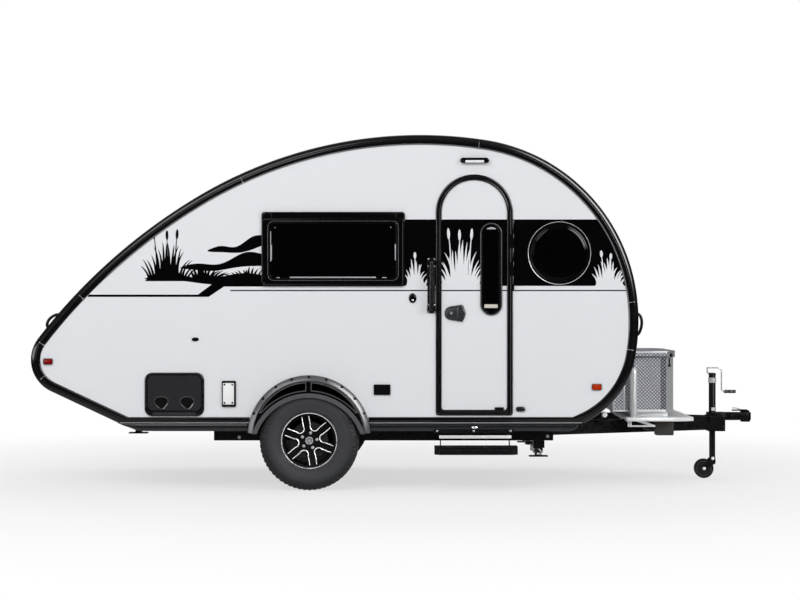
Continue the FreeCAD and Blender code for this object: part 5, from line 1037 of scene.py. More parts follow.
def seal(name, loop, width, proud, y, material, body="trailer", sides=8):
    """A half-round bead that follows a closed outline in the XZ plane."""
    side = copysign(1, y)
    verts = []
    for index, (x, z) in enumerate(loop):
        before, after = loop[index - 1], loop[(index + 1) % len(loop)]
        along = Vector((after[0] - before[0], after[1] - before[1])).normalized()
        for u, v in arc_points(0, 0, 1, 0, 180, sides):
            reach = width / 2 * u
            verts.append((x + along.y * reach, y + side * proud * v, z - along.x * reach))
    faces = faces_between(len(loop), sides + 1, loop=True)
    return mesh_piece(name, verts, faces, material, body, smooth=50.0)


def raised(name, loop, y, steps, material, body="trailer", finish=None):
    """A raised pad from a convex outline: steps of (scale about its middle, proud)."""
    side = copysign(1, y)
    middle_x = sum(x for x, z in loop) / len(loop)
    middle_z = sum(z for x, z in loop) / len(loop)
    rows = [[(middle_x + (x - middle_x) * scale, y + side * proud, middle_z + (z - middle_z) * scale)
             for x, z in loop] for scale, proud in steps]
    return carried(name, rows, material, body, finish, 42.0)


def bar(name, x0, x1, z0, z1, y, proud, material, body="trailer", corner=None):
    """A low bar with a rounded outline and rounded edges."""
    corner = corner or min(x1 - x0, z1 - z0) * 0.45
    loop = rounded(x0, x1, z0, z1, corner, 6)
    scale = 1 - 0.2 * min(x1 - x0, z1 - z0) / max(x1 - x0, z1 - z0)
    steps = ((1.0, 0.0), (1.0, proud * 0.6), ((1 + scale) / 2, proud * 0.92), (scale, proud))
    return raised(name, loop, y, steps, material, body)


# blind rail and latches seen at the edges of the pane: x0, x1, z0, z1
WINDOW_LATCHES = (
    (-0.832, -0.196, 1.559, 1.574),
    (-0.9775, -0.97, 1.685, 1.91),
    (-0.97, -0.964, 1.695, 1.81),
    (-0.056, -0.0485, 1.695, 1.815),
    (-0.93, -0.905, 1.558, 1.57),
    (-0.15, -0.115, 1.558, 1.571),
)


def make_side_windows():
    x0, x1, z0, z1 = WINDOW
    for side, label in SIDES:
        frame_y, pane_y = side * FRAME_Y, side * PANE_Y
        # outer rim with a rounded face, a hinge rail along the top with two joints
        seal(f"window_rim_{label}", rounded(x0 + 0.01, x1 - 0.01, z0 + 0.01, z1 - 0.058, 0.016, 8), 0.02,
            0.0045, frame_y, GLOSS)
        rails = ((x0 + 0.004, x0 + 0.068), (x0 + 0.071, x1 - 0.071), (x1 - 0.068, x1 - 0.004))
        for index, (a, b) in enumerate(rails):
            bar(f"window_rail_{label}_{index}", a, b, z1 - 0.05, z1 - 0.003, frame_y, 0.009, GLOSS,
                corner=0.01)
        inner = rounded(-0.9935, -0.03, 1.5465, 1.984, 0.044, 14)
        seal(f"window_bead_{label}", inner, 0.0075, 0.006, frame_y, BEAD)
        film(f"window_lip_{label}", [rounded(x0 + 0.022, x1 - 0.022, 1.5225, 1.996, 0.018),
            rounded(-0.99, -0.0335, 1.55, 1.9805, 0.041, 14)], frame_y + side * 0.0003, GLOSS, depth=0.0028)
        seal(f"window_pane_edge_{label}", rounded(-0.98, -0.0435, 1.56, 1.9705, 0.034, 12), 0.01, 0.0035,
            pane_y, GLASS)
        for index, box in enumerate(WINDOW_LATCHES):
            bar(f"window_latch_{label}_{index}", *box, pane_y, 0.0015, LATCH_AND_GLINT)
        screws = [(x, pane_y + side * 0.0002, z) for x, z in ((-0.943, 1.936), (-0.086, 1.939))]
        heads(f"window_screws_{label}", screws, (0, side, 0), 0.004, 0.002, STEEL_AND_GLINT, sides=12, dome=False)


def make_portholes():
    for side, label in SIDES:
        for part, profile, material in (
                ("ring", ((0.0062, 0.233), (0.0085, 0.2325), (0.0098, 0.231), (0.0092, 0.2292),
                          (0.007, 0.2284)), PALE),
                ("flange", ((0.0068, 0.229), (0.0082, 0.2225), (0.0078, 0.214), (0.004, 0.2105),
                            (0.0008, 0.2098)), GLOSS),
                ("dome", ((0.0002, 0.21), (0.0052, 0.208), (0.0074, 0.203), (0.0078, 0.1975),
                          (0.0084, 0.1955), (0.0128, 0.1845), (0.0132, 0.182), (0.0139, 0.13),
                          (0.0144, 0.08), (0.0146, 0.03), (0.0146, 0.0)), GLASS)):
            lathe(f"porthole_{part}_{label}", profile, (PORTHOLE[0], side * PANE_Y, PORTHOLE[1]),
                (0, side, 0), material, finish="dark_glass" if part == "dome" else "black_trim", steps=160)


def skin_loop(arc, start, stop, half, inset, corner, steps=10):
    """A closed outline on the skin between two headings, with rounded corners."""
    x, z, radius = ARCS[arc]
    reach = radius - inset
    length = radians(stop - start) * reach
    loop = []
    for u, v in rounded(0, length, -half, half, corner, steps):
        turn = radians(start) + u / reach
        loop.append(Vector((x + reach * sin(turn), v, z + reach * cos(turn))))
    return loop


def make_end_windows():
    """Rubber seals and beads round the two windows in the front and rear skin."""
    for name, arc, start, stop, half, edge in (("front", "brow", 19.0, 52.0, 0.62, 1.6),
                                               ("rear", "back", -41.0, -33.5, 0.48, 0.45)):
        tube(f"{name}_window_seal", skin_loop(arc, start, stop, half, 0.005, 0.02), 0.008, PLASTIC,
             closed=True)
        tube(f"{name}_window_bead", skin_loop(arc, start + edge, stop - edge, half - 0.032, 0.0065, 0.04),
             0.0045, BEAD, finish="black_plastic", closed=True)


# ---------------------------------------------------------------- door

def pill(x0, x1, z0, z1, steps=18):
    return rounded(x0, x1, z0, z1, (x1 - x0) / 2 - 0.0001, steps)


def blob(centre, points, steps=5):
    """A closed smooth outline through a few points about a centre."""
    loop = []
    count = len(points)
    for index in range(count):
        p0, p1 = points[index - 1], points[index]
        p2, p3 = points[(index + 1) % count], points[(index + 2) % count]
        for step in range(steps):
            t = step / steps
            loop.append(tuple(middle + 0.5 * (2 * b + (c - a) * t + (2 * a - 5 * b + 4 * c - d) * t * t
                                              + (3 * b - a - 3 * c + d) * t * t * t)
                              for middle, a, b, c, d in zip(centre, p0, p1, p2, p3)))
    return loop


def door_loop(inset):
    """The doorway's outline, drawn in: a round top and small lower corners."""
    x0, x1 = 0.2465 + inset, 0.8145 - inset
    z0, z1 = 0.549 + inset, 2.329 - inset
    radius = (x1 - x0) / 2
    corner = max(0.004, 0.020 - inset)
    return (arc_points((x0 + x1) / 2, z1 - radius, radius, 0, 180, 48)
            + arc_points(x0 + corner, z0 + corner, corner, 180, 270, 6)
            + arc_points(x1 - corner, z0 + corner, corner, 270, 360, 6))


def make_door_detail():
    seal("door_frame_bead", door_loop(0.01), 0.017, 0.0048, MOULDING_Y, TRIM, sides=10)
    seal("door_edge_bead", door_loop(0.034), 0.014, 0.0045, MOULDING_Y, TRIM, "door", sides=10)
    film("door_gap_seal", [door_loop(0.0202), door_loop(0.0225)], -1.006, RUBBER, finish="black_trim",
        depth=0.004)
    seal("door_window_bead", pill(0.579, 0.732, 1.2915, 1.9675), 0.009, 0.003, -1.0138, BEAD, "door")
    seal("door_pane_edge", pill(0.5945, 0.7165, 1.307, 1.952), 0.0075, 0.004, DOOR_PANE_Y, GLASS, "door")
    bar("door_blind_low", 0.605, 0.704, 1.343, 1.37, DOOR_PANE_Y, 0.002, CREAM, "door", corner=0.006)
    # a small grey pad at the top of the pane: painted glint
    raised("door_pane_glint", blob((0.657, 1.932), ((-0.034, -0.006), (-0.02, 0.004), (0.0, 0.008),
        (0.02, 0.004), (0.034, -0.006), (0.0, -0.008))), DOOR_PANE_Y,
        ((1.0, 0.0), (1.0, 0.001), (0.9, 0.0018)), LATCH_AND_GLINT, "door", "dark_glass")
    # handle: a pick-shaped plate with a lever and a lock
    plate = blob((0.389, 1.304), ((-0.0765, 0.0), (-0.069, 0.031), (-0.044, 0.049), (0.004, 0.057),
        (0.046, 0.063), (0.0585, 0.056), (0.07, 0.03), (0.0765, 0.0), (0.07, -0.03), (0.0585, -0.056),
        (0.046, -0.063), (0.004, -0.056), (-0.044, -0.048), (-0.069, -0.031)))
    handle = raised("door_handle_plate", plate, -WALL, ((1.0, 0.0), (1.0, 0.007), (0.975, 0.012),
        (0.93, 0.0155), (0.86, 0.018), (0.8, 0.0185), (0.78, 0.0165)), SATIN, "door")
    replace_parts(handle, "door_handle")
    lever = blob((0.376, 1.304), ((-0.052, 0.0), (-0.046, 0.024), (-0.026, 0.036), (0.012, 0.042),
        (0.036, 0.044), (0.041, 0.0), (0.036, -0.044), (0.012, -0.041), (-0.026, -0.035), (-0.046, -0.024)))
    raised("door_handle_lever", lever, -1.021, ((1.0, -0.004), (1.0, 0.001), (0.95, 0.0045), (0.84, 0.007),
        (0.6, 0.0088), (0.3, 0.0095)), SATIN, "door")
    lathe("door_lock", [(0.0, 0.0105), (0.003, 0.01), (0.0042, 0.0085), (0.0042, 0.003), (0.003, 0.002),
        (0.003, 0.0)], (0.361, -1.0285, 1.307), (0, -1, 0), STEEL_AND_GLINT, "door", steps=32)
    bar("door_foot_catch", 0.681, 0.749, 0.59, 0.61, -WALL, 0.012, PLASTIC, "door", corner=0.006)


def make_wall_fittings():
    """Locks, catches and the porch light on the right wall."""
    raised("wall_lock", oval(0.0755, 1.4155, 0.0285, 0.0365, 40), -WALL, ((1.0, 0.0), (1.0, 0.004),
        (0.93, 0.009), (0.8, 0.0115), (0.5, 0.0125)), GLOSS, finish="black_plastic")
    lathe("wall_lock_key", [(0.0, 0.006), (0.002, 0.0056), (0.0028, 0.0036), (0.0028, 0.0)],
        (0.0755, -1.0165, 1.399), (0, -1, 0), STEEL_AND_GLINT, steps=24)
    raised("wall_key_oval", oval(-1.53, 1.111, 0.027, 0.015, 32), -WALL, ((1.0, 0.0), (1.0, 0.003),
        (0.9, 0.0065), (0.6, 0.008)), GLOSS, finish="black_plastic")
    bar("wall_catch", 0.839, 0.906, 0.579, 0.614, -WALL, 0.016, PLASTIC, corner=0.014)
    raised("skirt_catch", blob((0.533, 0.46), ((-0.026, 0.0), (-0.012, 0.01), (0.014, 0.009), (0.026, 0.0),
        (0.014, -0.009), (-0.012, -0.01))), -1.01, ((1.0, 0.0), (1.0, 0.004), (0.8, 0.0075), (0.4, 0.009)),
        STEEL_AND_GLINT)
    # porch light: a black bezel with its lens in the lower half
    light = raised("porch_light_bezel", rounded(0.4265, 0.6395, 2.4122, 2.4518, 0.019, 10), -WALL,
        ((1.0, 0.0), (1.0, 0.02), (0.985, 0.026), (0.95, 0.029)), GLOSS, finish="black_plastic")
    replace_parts(light, "porch_light")
    bar("porch_light_lens", 0.464, 0.602, 2.415, 2.433, -1.033, 0.0022, CLEAR, corner=0.007)


def make_vents():
    """Refrigeration and furnace vents on the right wall."""
    # large panel: frame, recessed face with a fine mesh, two scoops
    x0, x1, z0, z1 = -1.904, -1.4635, 0.543, 0.866
    panel = raised("vent_panel", rounded(x0, x1, z0, z1, 0.056, 5), -WALL, ((1.0, 0.0), (1.0, 0.006),
        (0.985, 0.0115), (0.955, 0.0135), (0.905, 0.0135), (0.895, 0.01)), PLASTIC)
    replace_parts(panel, "side_vents")
    film("vent_mesh_back", [rounded(x0 + 0.024, x1 - 0.024, z0 + 0.044, z1 - 0.02, 0.04)], -1.0148, MESH,
        depth=0.0006)
    film("vent_panel_lip", [rounded(x0 + 0.06, x1 - 0.06, z0 + 0.006, z0 + 0.03, 0.008)], -1.0186, SATIN,
        depth=0.0006)
    for index, x in enumerate((-1.78, -1.5895)):
        hood = blob((x, 0.64), ((-0.056, 0.012), (-0.046, 0.036), (-0.02, 0.049), (0.02, 0.049),
            (0.046, 0.036), (0.056, 0.012), (0.04, -0.018), (0.008, -0.045), (-0.008, -0.045),
            (-0.04, -0.018)))
        raised(f"vent_scoop_{index}", hood, -1.0152, ((1.0, 0.0), (0.99, 0.003), (0.93, 0.0042),
            (0.86, 0.003), (0.8, -0.004)), SATIN)
        # the scoop's mouth: a dark pad, painted shade
        mouth = [(x + (u - x) * 0.84, 0.642 + (v - 0.642) * 0.84) for u, v in hood]
        raised(f"vent_scoop_mouth_{index}", mouth, -1.0152, ((1.0, 0.0), (1.0, 0.0022), (0.96, 0.0022)),
            SHADE_AND_SEAM)
        # a bright wire along each scoop's lower right edge: painted glint
        tube(f"vent_scoop_edge_{index}", [(x + 0.012, -1.0186, 0.598), (x + 0.03, -1.0188, 0.613),
            (x + 0.046, -1.0186, 0.64)], 0.002, STEEL_AND_GLINT, sides=3)
    # white vent in a black frame
    x0, x1, z0, z1 = -1.3335, -1.2295, 0.613, 0.805
    film("vent_white_frame", [rounded(x0, x1, z0, z1, 0.009), rounded(x0 + 0.007, x1 - 0.013, z0 + 0.016,
        z1 - 0.014, 0.004)], -WALL, PLASTIC, depth=0.013)
    bar("vent_white_face", x0 + 0.006, x1 - 0.012, z0 + 0.015, z1 - 0.013, -WALL, 0.0115, WHITE_PLASTIC,
        corner=0.004)
    for index, x in enumerate((-1.303, -1.288, -1.273, -1.26)):
        bar(f"vent_white_rib_{index}", x - 0.003, x + 0.003, z0 + 0.04, z1 - 0.038, -1.016, 0.003,
            WHITE_PLASTIC, corner=0.0028)
    heads("vent_white_screws", [(x, -1.0163, z) for x in (x0 + 0.02, x1 - 0.026)
        for z in (z0 + 0.03, z1 - 0.028)], (0, -1, 0), 0.0055, 0.0016, BOLT, sides=12, dome=False)
    # black vent with louvres
    x0, x1, z0, z1 = -0.212, -0.089, 0.701, 0.778
    film("vent_black_frame", [rounded(x0, x1, z0, z1, 0.006), rounded(x0 + 0.008, x1 - 0.008, z0 + 0.008,
        z1 - 0.008, 0.003)], -WALL, PLASTIC, depth=0.011)
    # dark back behind the louvres: painted shade
    bar("vent_black_back", x0 + 0.006, x1 - 0.006, z0 + 0.006, z1 - 0.006, -WALL, 0.002, SHADE_AND_SEAM, corner=0.004)
    for index in range(5):
        z = z0 + 0.014 + index * 0.0122
        a, b = x0 + 0.007, x1 - 0.007
        blade_rows = [[(a, -1.006, z + back), (b, -1.006, z + back), (b, y, z + front), (a, y, z + front)]
                      for back, y, front in ((0.007, -1.0145, 0.0), (0.0085, -1.015, 0.0013))]
        carried(f"vent_black_louvre_{index}", blade_rows, PLASTIC, smooth=None)


def skin_frame(arc, heading, inset=0.0):
    """A point on the outline, the way out there and the way forward along it."""
    out = facing(heading)
    return arc_point(arc, heading, inset), out, Vector((out.z, 0, -out.x))


def make_lamps():
    """Tail lamps, corner markers, the plate holder's rim, the roof vent's ribs and the assist plate."""
    seat, out, along = skin_frame("back", -51.0, 0.006)
    for side, label in SIDES:
        centre = seat + Vector((0, side * 0.76, 0))
        lathe(f"tail_lamp_bezel_{label}", [(0.001, 0.058), (0.016, 0.058), (0.0195, 0.0565),
            (0.0215, 0.0535), (0.0195, 0.05), (0.01, 0.049)], centre, out, GLOSS, finish="black_plastic",
            steps=96)
        lathe(f"tail_lamp_lens_{label}", [(0.012, 0.0495), (0.0185, 0.048), (0.0205, 0.043), (0.02, 0.04),
            (0.0212, 0.038), (0.0214, 0.025), (0.02, 0.0235), (0.0212, 0.0215), (0.0219, 0.01),
            (0.022, 0.0)], centre, out, RED, steps=96)
        for name, box, material in (("amber_marker", (1.3985, 1.471, 0.736, 0.783), AMBER),
                                    ("red_marker", (-2.652, -2.583, 0.926, 0.97), RED)):
            lens = inside(box, 0.004, 0.007)
            film(f"{name}_base_{label}", [inside(box, 0, 0.01), lens], side * WALL, GLOSS,
                 finish="black_plastic", depth=0.0125)
            piece = raised(f"{name}_{label}", lens, side * WALL,
                           ((1.0, 0.0), (1.0, 0.0115), (0.92, 0.015), (0.8, 0.016)), material)
            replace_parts(piece, "front_lamps" if name == "amber_marker" else "rear_lamps")
    # plate holder: a raised rim on the blank plate
    seat, out, along = skin_frame("back", -50.0, 0.006)
    across = Vector((0, 1, 0))
    corners = rounded(-0.155, 0.155, -0.08, 0.08, 0.014, 6)
    rim = [seat + out * 0.0075 + across * u + along * v for u, v in corners]
    tube("plate_holder_rim", rim, 0.0035, PLASTIC, closed=True, sides=4)
    heads("plate_holder_bolts", [seat + out * 0.006 + across * u for u in (-0.105, 0.105)], out, 0.006,
        0.004, STEEL_AND_GLINT)
    x0, x1, top = -0.158, 0.278, 2.669
    for index in range(5):
        y = -0.13 + 0.065 * index
        block(f"roof_vent_rib_{index}", (x0 + 0.03, y - 0.006, top - 0.0065),
            (x1 - 0.03, y + 0.006, top - 0.0002), WHITE_PLASTIC, "vent_lid", edge=0.0028)
    bar("assist_plate", 0.1845, 0.2425, 1.306, 1.71, -WALL, 0.004, PLASTIC, corner=0.014)
    heads("assist_screws", [(x, -1.0148, z) for x in (0.1915, 0.2355)
        for z in (1.313, 1.365, 1.651, 1.703)], (0, -1, 0), 0.005, 0.0026, STEEL_AND_GLINT, sides=12)


def strap(name, path, wide, thick, material):
    """A flat bar with rounded edges along a path in the XZ plane."""
    section = [(copysign(abs(u) ** 0.6, u) * thick / 2, copysign(abs(v) ** 0.6, v) * wide / 2)
               for u, v in oval(0, 0, 1, 1, 16)]
    rows = []
    for index, point in enumerate(path):
        along = (path[min(index + 1, len(path) - 1)] - path[max(index - 1, 0)]).normalized()
        across = Vector((-along.z, 0, along.x))
        rows.append([point + across * u + Vector((0, v, 0)) for u, v in section])
    return carried(name, rows, material, smooth=50.0)


def make_grab_handles():
    """Curved handles at the corners: one at the front and one at the back of each side."""
    for place, arc, heading, length in (("front", "prow", 91.0, 0.174), ("rear", "back", -50.3, 0.142)):
        seat, out, along = skin_frame(arc, heading, 0.006)
        for side, label in SIDES:
            path = []
            for step in range(33):
                t = step / 32
                lift = 0.041 * sin(pi * t) ** 0.4 * (1 + 0.3 * (0.5 - t))
                path.append(seat + along * (t - 0.5) * (length - 0.014) + out * (0.001 + lift)
                    + Vector((0, side * 0.88, 0)))
            handle = strap(f"grab_handle_{place}_{label}", path, 0.026, 0.0215, PLASTIC)
            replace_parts(handle, "grab_handles")


# ---------------------------------------------------------------- fenders

def arc_strip(name, section, radius, centre, start, stop, side, material, steps=90):
    """A section of (in from the radius, off the middle plane) carried round an arc over the wheel."""
    rows = []
    for step in range(steps + 1):
        turn = radians(start + (stop - start) * step / steps)
        rows.append([(centre[0] + (radius - inset) * cos(turn), side * y,
                      centre[1] + (radius - inset) * sin(turn)) for inset, y in section])
    return carried(name, rows, material, smooth=34.0)


def bow(radius, centre_z, x0, x1, steps=30):
    """Points on an arc over the wheel, from x0 to x1 across its centre line."""
    places = [x0 + (x1 - x0) * step / steps for step in range(steps + 1)]
    return [(ARCH_X + x, centre_z + sqrt(radius ** 2 - x ** 2)) for x in places]


def make_fender_detail():
    foot = degrees(asin((0.418 - ARCH_Z) / FENDER_R))
    face = bow(0.4112, ARCH_Z, -0.4103, 0.4103, 60) + bow(0.4378, 0.279, 0.4151, -0.4151, 60)
    slots = [bow(0.4068, ARCH_Z, 0.0165 * way, 0.364 * way) + bow(0.452, 0.279, 0.344 * way, 0.0165 * way)
        for way in (1, -1)]
    for side, label in SIDES:
        arc_strip(f"fender_flange_{label}", ((0.0, 1.02), (0.0012, 1.023), (0.005, 1.0262), (0.02, 1.034),
            (0.034, 1.042), (0.04, 1.043), (0.043, 1.0405), (0.043, 1.02)), FENDER_R, (ARCH_X, ARCH_Z),
            foot + 0.6, 180 - foot - 0.6, side, FLARE)
        film(f"fender_face_{label}", [face] + slots, side * 1.102, GLOSS, finish="black_plastic",
            depth=0.0008)
        bolts = []
        for index in range(-4, 5):
            turn = radians(90 + 16.7 * index)
            bolts.append((ARCH_X + 0.44 * cos(turn), side * 1.029, ARCH_Z + 0.44 * sin(turn)))
        heads(f"fender_bolts_{label}", bolts, (0, side, 0), 0.0095, 0.008, BOLT, finish="black_plastic",
            sides=6)


# ---------------------------------------------------------------- wheels

def tyre_profile():
    """(out, radius) down one sidewall, from the tread's edge to the bead."""
    return [(0.089, 0.364), (0.096, 0.359), (0.103, 0.352), (0.1065, 0.344), (0.1085, 0.34),
        (0.1115, 0.334), (0.1145, 0.32), (0.1165, 0.305), (0.1172, 0.29), (0.1165, 0.28), (0.1172, 0.2785),
        (0.1172, 0.2755), (0.116, 0.274), (0.114, 0.26), (0.1105, 0.245), (0.107, 0.233), (0.108, 0.231),
        (0.1065, 0.226), (0.103, 0.223), (0.0985, 0.213), (0.093, 0.207), (0.0885, 0.206), (0.0885, 0.1965)]


def make_tyre(side, label):
    """Tyre with grooves, staggered tread blocks and shoulder lugs; no lettering."""
    centre = Vector((WHEEL_X, side * WHEEL_Y, WHEEL_Z))
    half = tyre_profile()
    # across the tread: outer rib, groove, middle rib, groove, centre rib, mirrored
    tread = [(0.077, 0.0), (0.048, 0.0), (0.0455, -0.0075), (0.0375, -0.0075), (0.035, 0.0012),
        (0.016, 0.0016), (0.0135, -0.0075), (0.006, -0.0075), (0.0035, 0.0018)]
    crown = [(out, TYRE_R - 0.0022 + lift) for out, lift in tread]
    crown = crown + [(-out, radius) for out, radius in reversed(crown)]
    row = half[::-1] + crown + [(-out, radius) for out, radius in half]
    steps, period = 360, 6
    verts = []
    for step in range(steps):
        turn = 2 * pi * step / steps
        for out, radius in row:
            reach = radius
            stagger = (step + (3 if out > 0 else 0)) % period
            if abs(out) < 0.05 and radius > 0.3625:
                if (step + int(abs(out) * 120) + (2 if out > 0 else 0)) % period == 0:
                    reach -= 0.0055
            elif 0.05 < abs(out) < 0.1 and radius > 0.35:
                if stagger < 2:
                    reach -= 0.0062
            elif abs(out) >= 0.1 and 0.332 < radius <= 0.352:
                if stagger < 2:
                    out = copysign(abs(out) - 0.0035, out)
                    reach -= 0.001
            verts.append(centre + Vector((reach * cos(turn), side * out, reach * sin(turn))))
    faces = faces_between(steps, len(row), ring=False, loop=True)
    tyre = mesh_piece(f"tyre_tread_{label}", verts, faces, RUBBER, f"wheel_{label}", smooth=28.0)
    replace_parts(tyre, f"tyre_{label}")


FIRST_OPENING, FIRST_LUG = 9.5, 8.0

# the machined line beside an opening: away from the opening, off the rim's face
LINE_SECTION = ((-0.0005, -0.004), (-0.0005, 0.0008), (0.0008, 0.0016), (0.0036, 0.0016), (0.0052, 0.0004))


def spoke_frame(side, heading):
    """The way out from the hub at a heading and the way round, on this side's wheel."""
    turn = radians(heading if side == RIGHT else 180 - heading)
    return Vector((cos(turn), 0, sin(turn))), Vector((-sin(turn), 0, cos(turn)))


def make_rim_detail(side, label):
    """Machined lines on the spokes, bright lip, centre cap and lug nuts."""
    body = f"wheel_{label}"
    centre = Vector((WHEEL_X, side * (WHEEL_Y + FACE_Y), WHEEL_Z))
    path = [(-0.066, 0.17)] + arc_points(0, 0.11, 0.03, 180, 360, 14) + [(0.066, 0.17)]
    verts, faces = [], []
    for opening in range(6):
        out, around = spoke_frame(side, FIRST_OPENING + 60 * opening)
        faces += faces_between(len(path), len(LINE_SECTION), ring=False, base=len(verts))
        for index, (u, v) in enumerate(path):
            before, after = path[max(0, index - 1)], path[min(len(path) - 1, index + 1)]
            along = Vector((after[0] - before[0], after[1] - before[1])).normalized()
            for away, lift in LINE_SECTION:
                verts.append(centre + around * (u + along.y * away) + out * (v - along.x * away)
                    + Vector((0, side * lift, 0)))
    mesh_piece(f"rim_lines_{label}", verts, faces, MACHINED, body, smooth=40.0)
    hub = (WHEEL_X, side * WHEEL_Y, WHEEL_Z)
    for part, profile, material, steps in (
            ("lip", ((0.0905, 0.206), (0.094, 0.2074), (0.0951, 0.206), (0.0951, 0.2005), (0.094, 0.1985),
                     (0.0905, 0.1975)), MACHINED, 128),
            ("cap", ((0.08, 0.0), (0.0846, 0.0001), (0.0842, 0.012), (0.0826, 0.018), (0.084, 0.0198),
                     (0.084, 0.025), (0.08, 0.0285), (0.074, 0.029)), MACHINED, 64),
            ("hub_ring", ((0.0738, 0.0285), (0.079, 0.032), (0.08, 0.036), (0.077, 0.04),
                          (0.0735, 0.041)), RIM, 64),
            ("cap_centre", ((0.0838, 0.015), (0.0852, 0.0145), (0.0856, 0.012), (0.0856, 0.0)), ZINC, 48),
            ("cap_groove", ((0.0838, 0.019), (0.085, 0.0186), (0.085, 0.0156), (0.0838, 0.0152)), RIM,
             48)):
        lathe(f"rim_{part}_{label}", profile, hub, (0, side, 0), material, body, "rim", steps)
    nuts = [centre + spoke_frame(side, FIRST_LUG + 72 * index)[0] * 0.057 for index in range(5)]
    heads(f"lug_nuts_{label}", nuts, (0, side, 0), 0.0085, 0.01, ZINC, body)


# ---------------------------------------------------------------- chassis and step

def wedge(name, outline, y0, y1, material, body="trailer"):
    """An outline in the XZ plane between two distances from the middle."""
    rows = [[(x, y, z) for x, z in outline] for y in (y0, y1)]
    return carried(name, rows, material, body, smooth=None)


SKIRT_BULGE = ((0.434, 0.0), (0.4362, 0.004), (0.445, 0.0072), (0.46, 0.0085), (0.472, 0.008),
    (0.482, 0.0056), (0.488, 0.002), (0.489, 0.0))


def make_skirt_detail():
    """A rounded face along the skirt, ahead of and behind the wheel: places along it, each with how
    far down the face reaches there."""
    runs = (("rear", ((-2.055, 0.2), (-2.02, 0.5), (-1.975, 0.82), (-1.925, 1.0), (-1.146, 1.0))),
            ("front", ((-0.232, 1.0), (1.24, 1.0), (1.29, 0.6))))
    for side, label in SIDES:
        for part, stations in runs:
            rows = [[(x, side * (1.009 + proud), 0.489 + (z - 0.489) * deep) for z, proud in SKIRT_BULGE]
                    for x, deep in stations]
            carried(f"skirt_face_{part}_{label}", rows, SKIRT, smooth=40.0)


def make_chassis_detail():
    for side, label in SIDES:
        low, high = sorted((side * 0.834, side * 0.768))
        block(f"rail_end_{label}", (1.115, low, 0.354), (1.127, high, 0.438), CHASSIS, edge=0.002)
        heads(f"rail_bolts_{label}", [(-1.218, side * 0.8295, 0.377), (1.085, side * 0.8295, 0.385)],
            (0, side, 0), 0.01, 0.011, ZINC)
        y0, y1 = side * 0.795, side * 0.826
        wedge(f"axle_bracket_{label}", [(-0.345, 0.3535), (-0.279, 0.3535), (-0.3, 0.315), (-0.326, 0.278),
            (-0.345, 0.274)], y0, y1, CHASSIS)
        # torsion arm's end cap and its bolt
        lathe(f"axle_cap_{label}", [(0.0, 0.027), (0.004, 0.0265), (0.006, 0.024), (0.0062, 0.0)],
            (-0.686 + 0.15, side * 0.848, 0.306), (0, side, 0), ZINC, finish="chassis_black", steps=40)
        heads(f"stabiliser_bolt_{label}", [(1.038, side * 0.8005, 0.252)], (0, side, 0), 0.0085, 0.01, ZINC,
            f"stabiliser_front_{label}")
        # lifting ears over the foot
        for index, x in enumerate((0.996, 1.044)):
            low, high = sorted((side * 0.73, side * 0.796))
            wedge(f"stabiliser_ear_{label}_{index}", [(x - 0.0025, 0.23), (x + 0.0025, 0.23),
                (x + 0.0025, 0.262), (x - 0.0025, 0.262)], low, high, CHASSIS, f"stabiliser_front_{label}")
        bar(f"stabiliser_tag_{label}", 1.0075, 1.033, 0.244, 0.258, side * 0.7902, 0.0015, WHITE_PLASTIC,
            f"stabiliser_front_{label}", corner=0.002)


def make_step_detail():
    bar("step_spreader", 0.271, 0.805, 0.3795, 0.4025, -1.009, 0.0028, SMOOTH, corner=0.004)
    for index, z in enumerate((0.4262, 0.435, 0.4438)):
        bar(f"step_rail_ridge_{index}", 0.233, 0.82, z - 0.0026, z + 0.0026, -1.0168, 0.0026, PLASTIC,
            corner=0.0024)
    heads("step_bolts", [(x, -1.0168, 0.435) for x in (0.256, 0.5265, 0.797)], (0, -1, 0), 0.0075, 0.006,
        ZINC)
    for index in range(9):
        y = -1.09 + index * 0.018
        # the rows by the arms are shorter, as the folded arms lie over the tread's ends there
        end = 0.048 if -1.04 < y else 0.006 if -1.06 < y else 0.03
        block(f"step_grip_{index}", (0.254 + end, y - 0.0045, 0.3205),
            (0.818 - end if end > 0.04 else 0.841 - end, y + 0.0045, 0.3228), RUBBER, "step_tread",
            "black_plastic", 0.0009, 2)
    for index, z in enumerate((0.273, 0.285, 0.312)):
        block(f"step_nose_{index}", (0.28, -1.1, z - 0.003), (0.805, -1.096, z + 0.003), PLASTIC,
            "step_tread", edge=0.0014, steps=2)


# ---------------------------------------------------------------- tongue box and deck

def box_corner(side):
    """The ends of the angled front corner of the box on one side."""
    return (Vector((2.015, side * 0.5, 0)), Vector((2.088, side * 0.35, 0)))


def corner_sheet(name, low, high, proud, material, side, start, stop):
    """A plain strip on an angled front corner of the box, from start to stop across it."""
    first, last = box_corner(side)
    along = (last - first).normalized()
    out = Vector((along.y, -along.x, 0)) * -side
    a, b = first.lerp(last, start), first.lerp(last, stop)
    rows = [[point + out * push + Vector((0, 0, z)) for point,
        z in ((a, low), (b, low), (b, high), (a, high))] for push in (-0.001, proud)]
    return carried(name, rows, material, smooth=None)


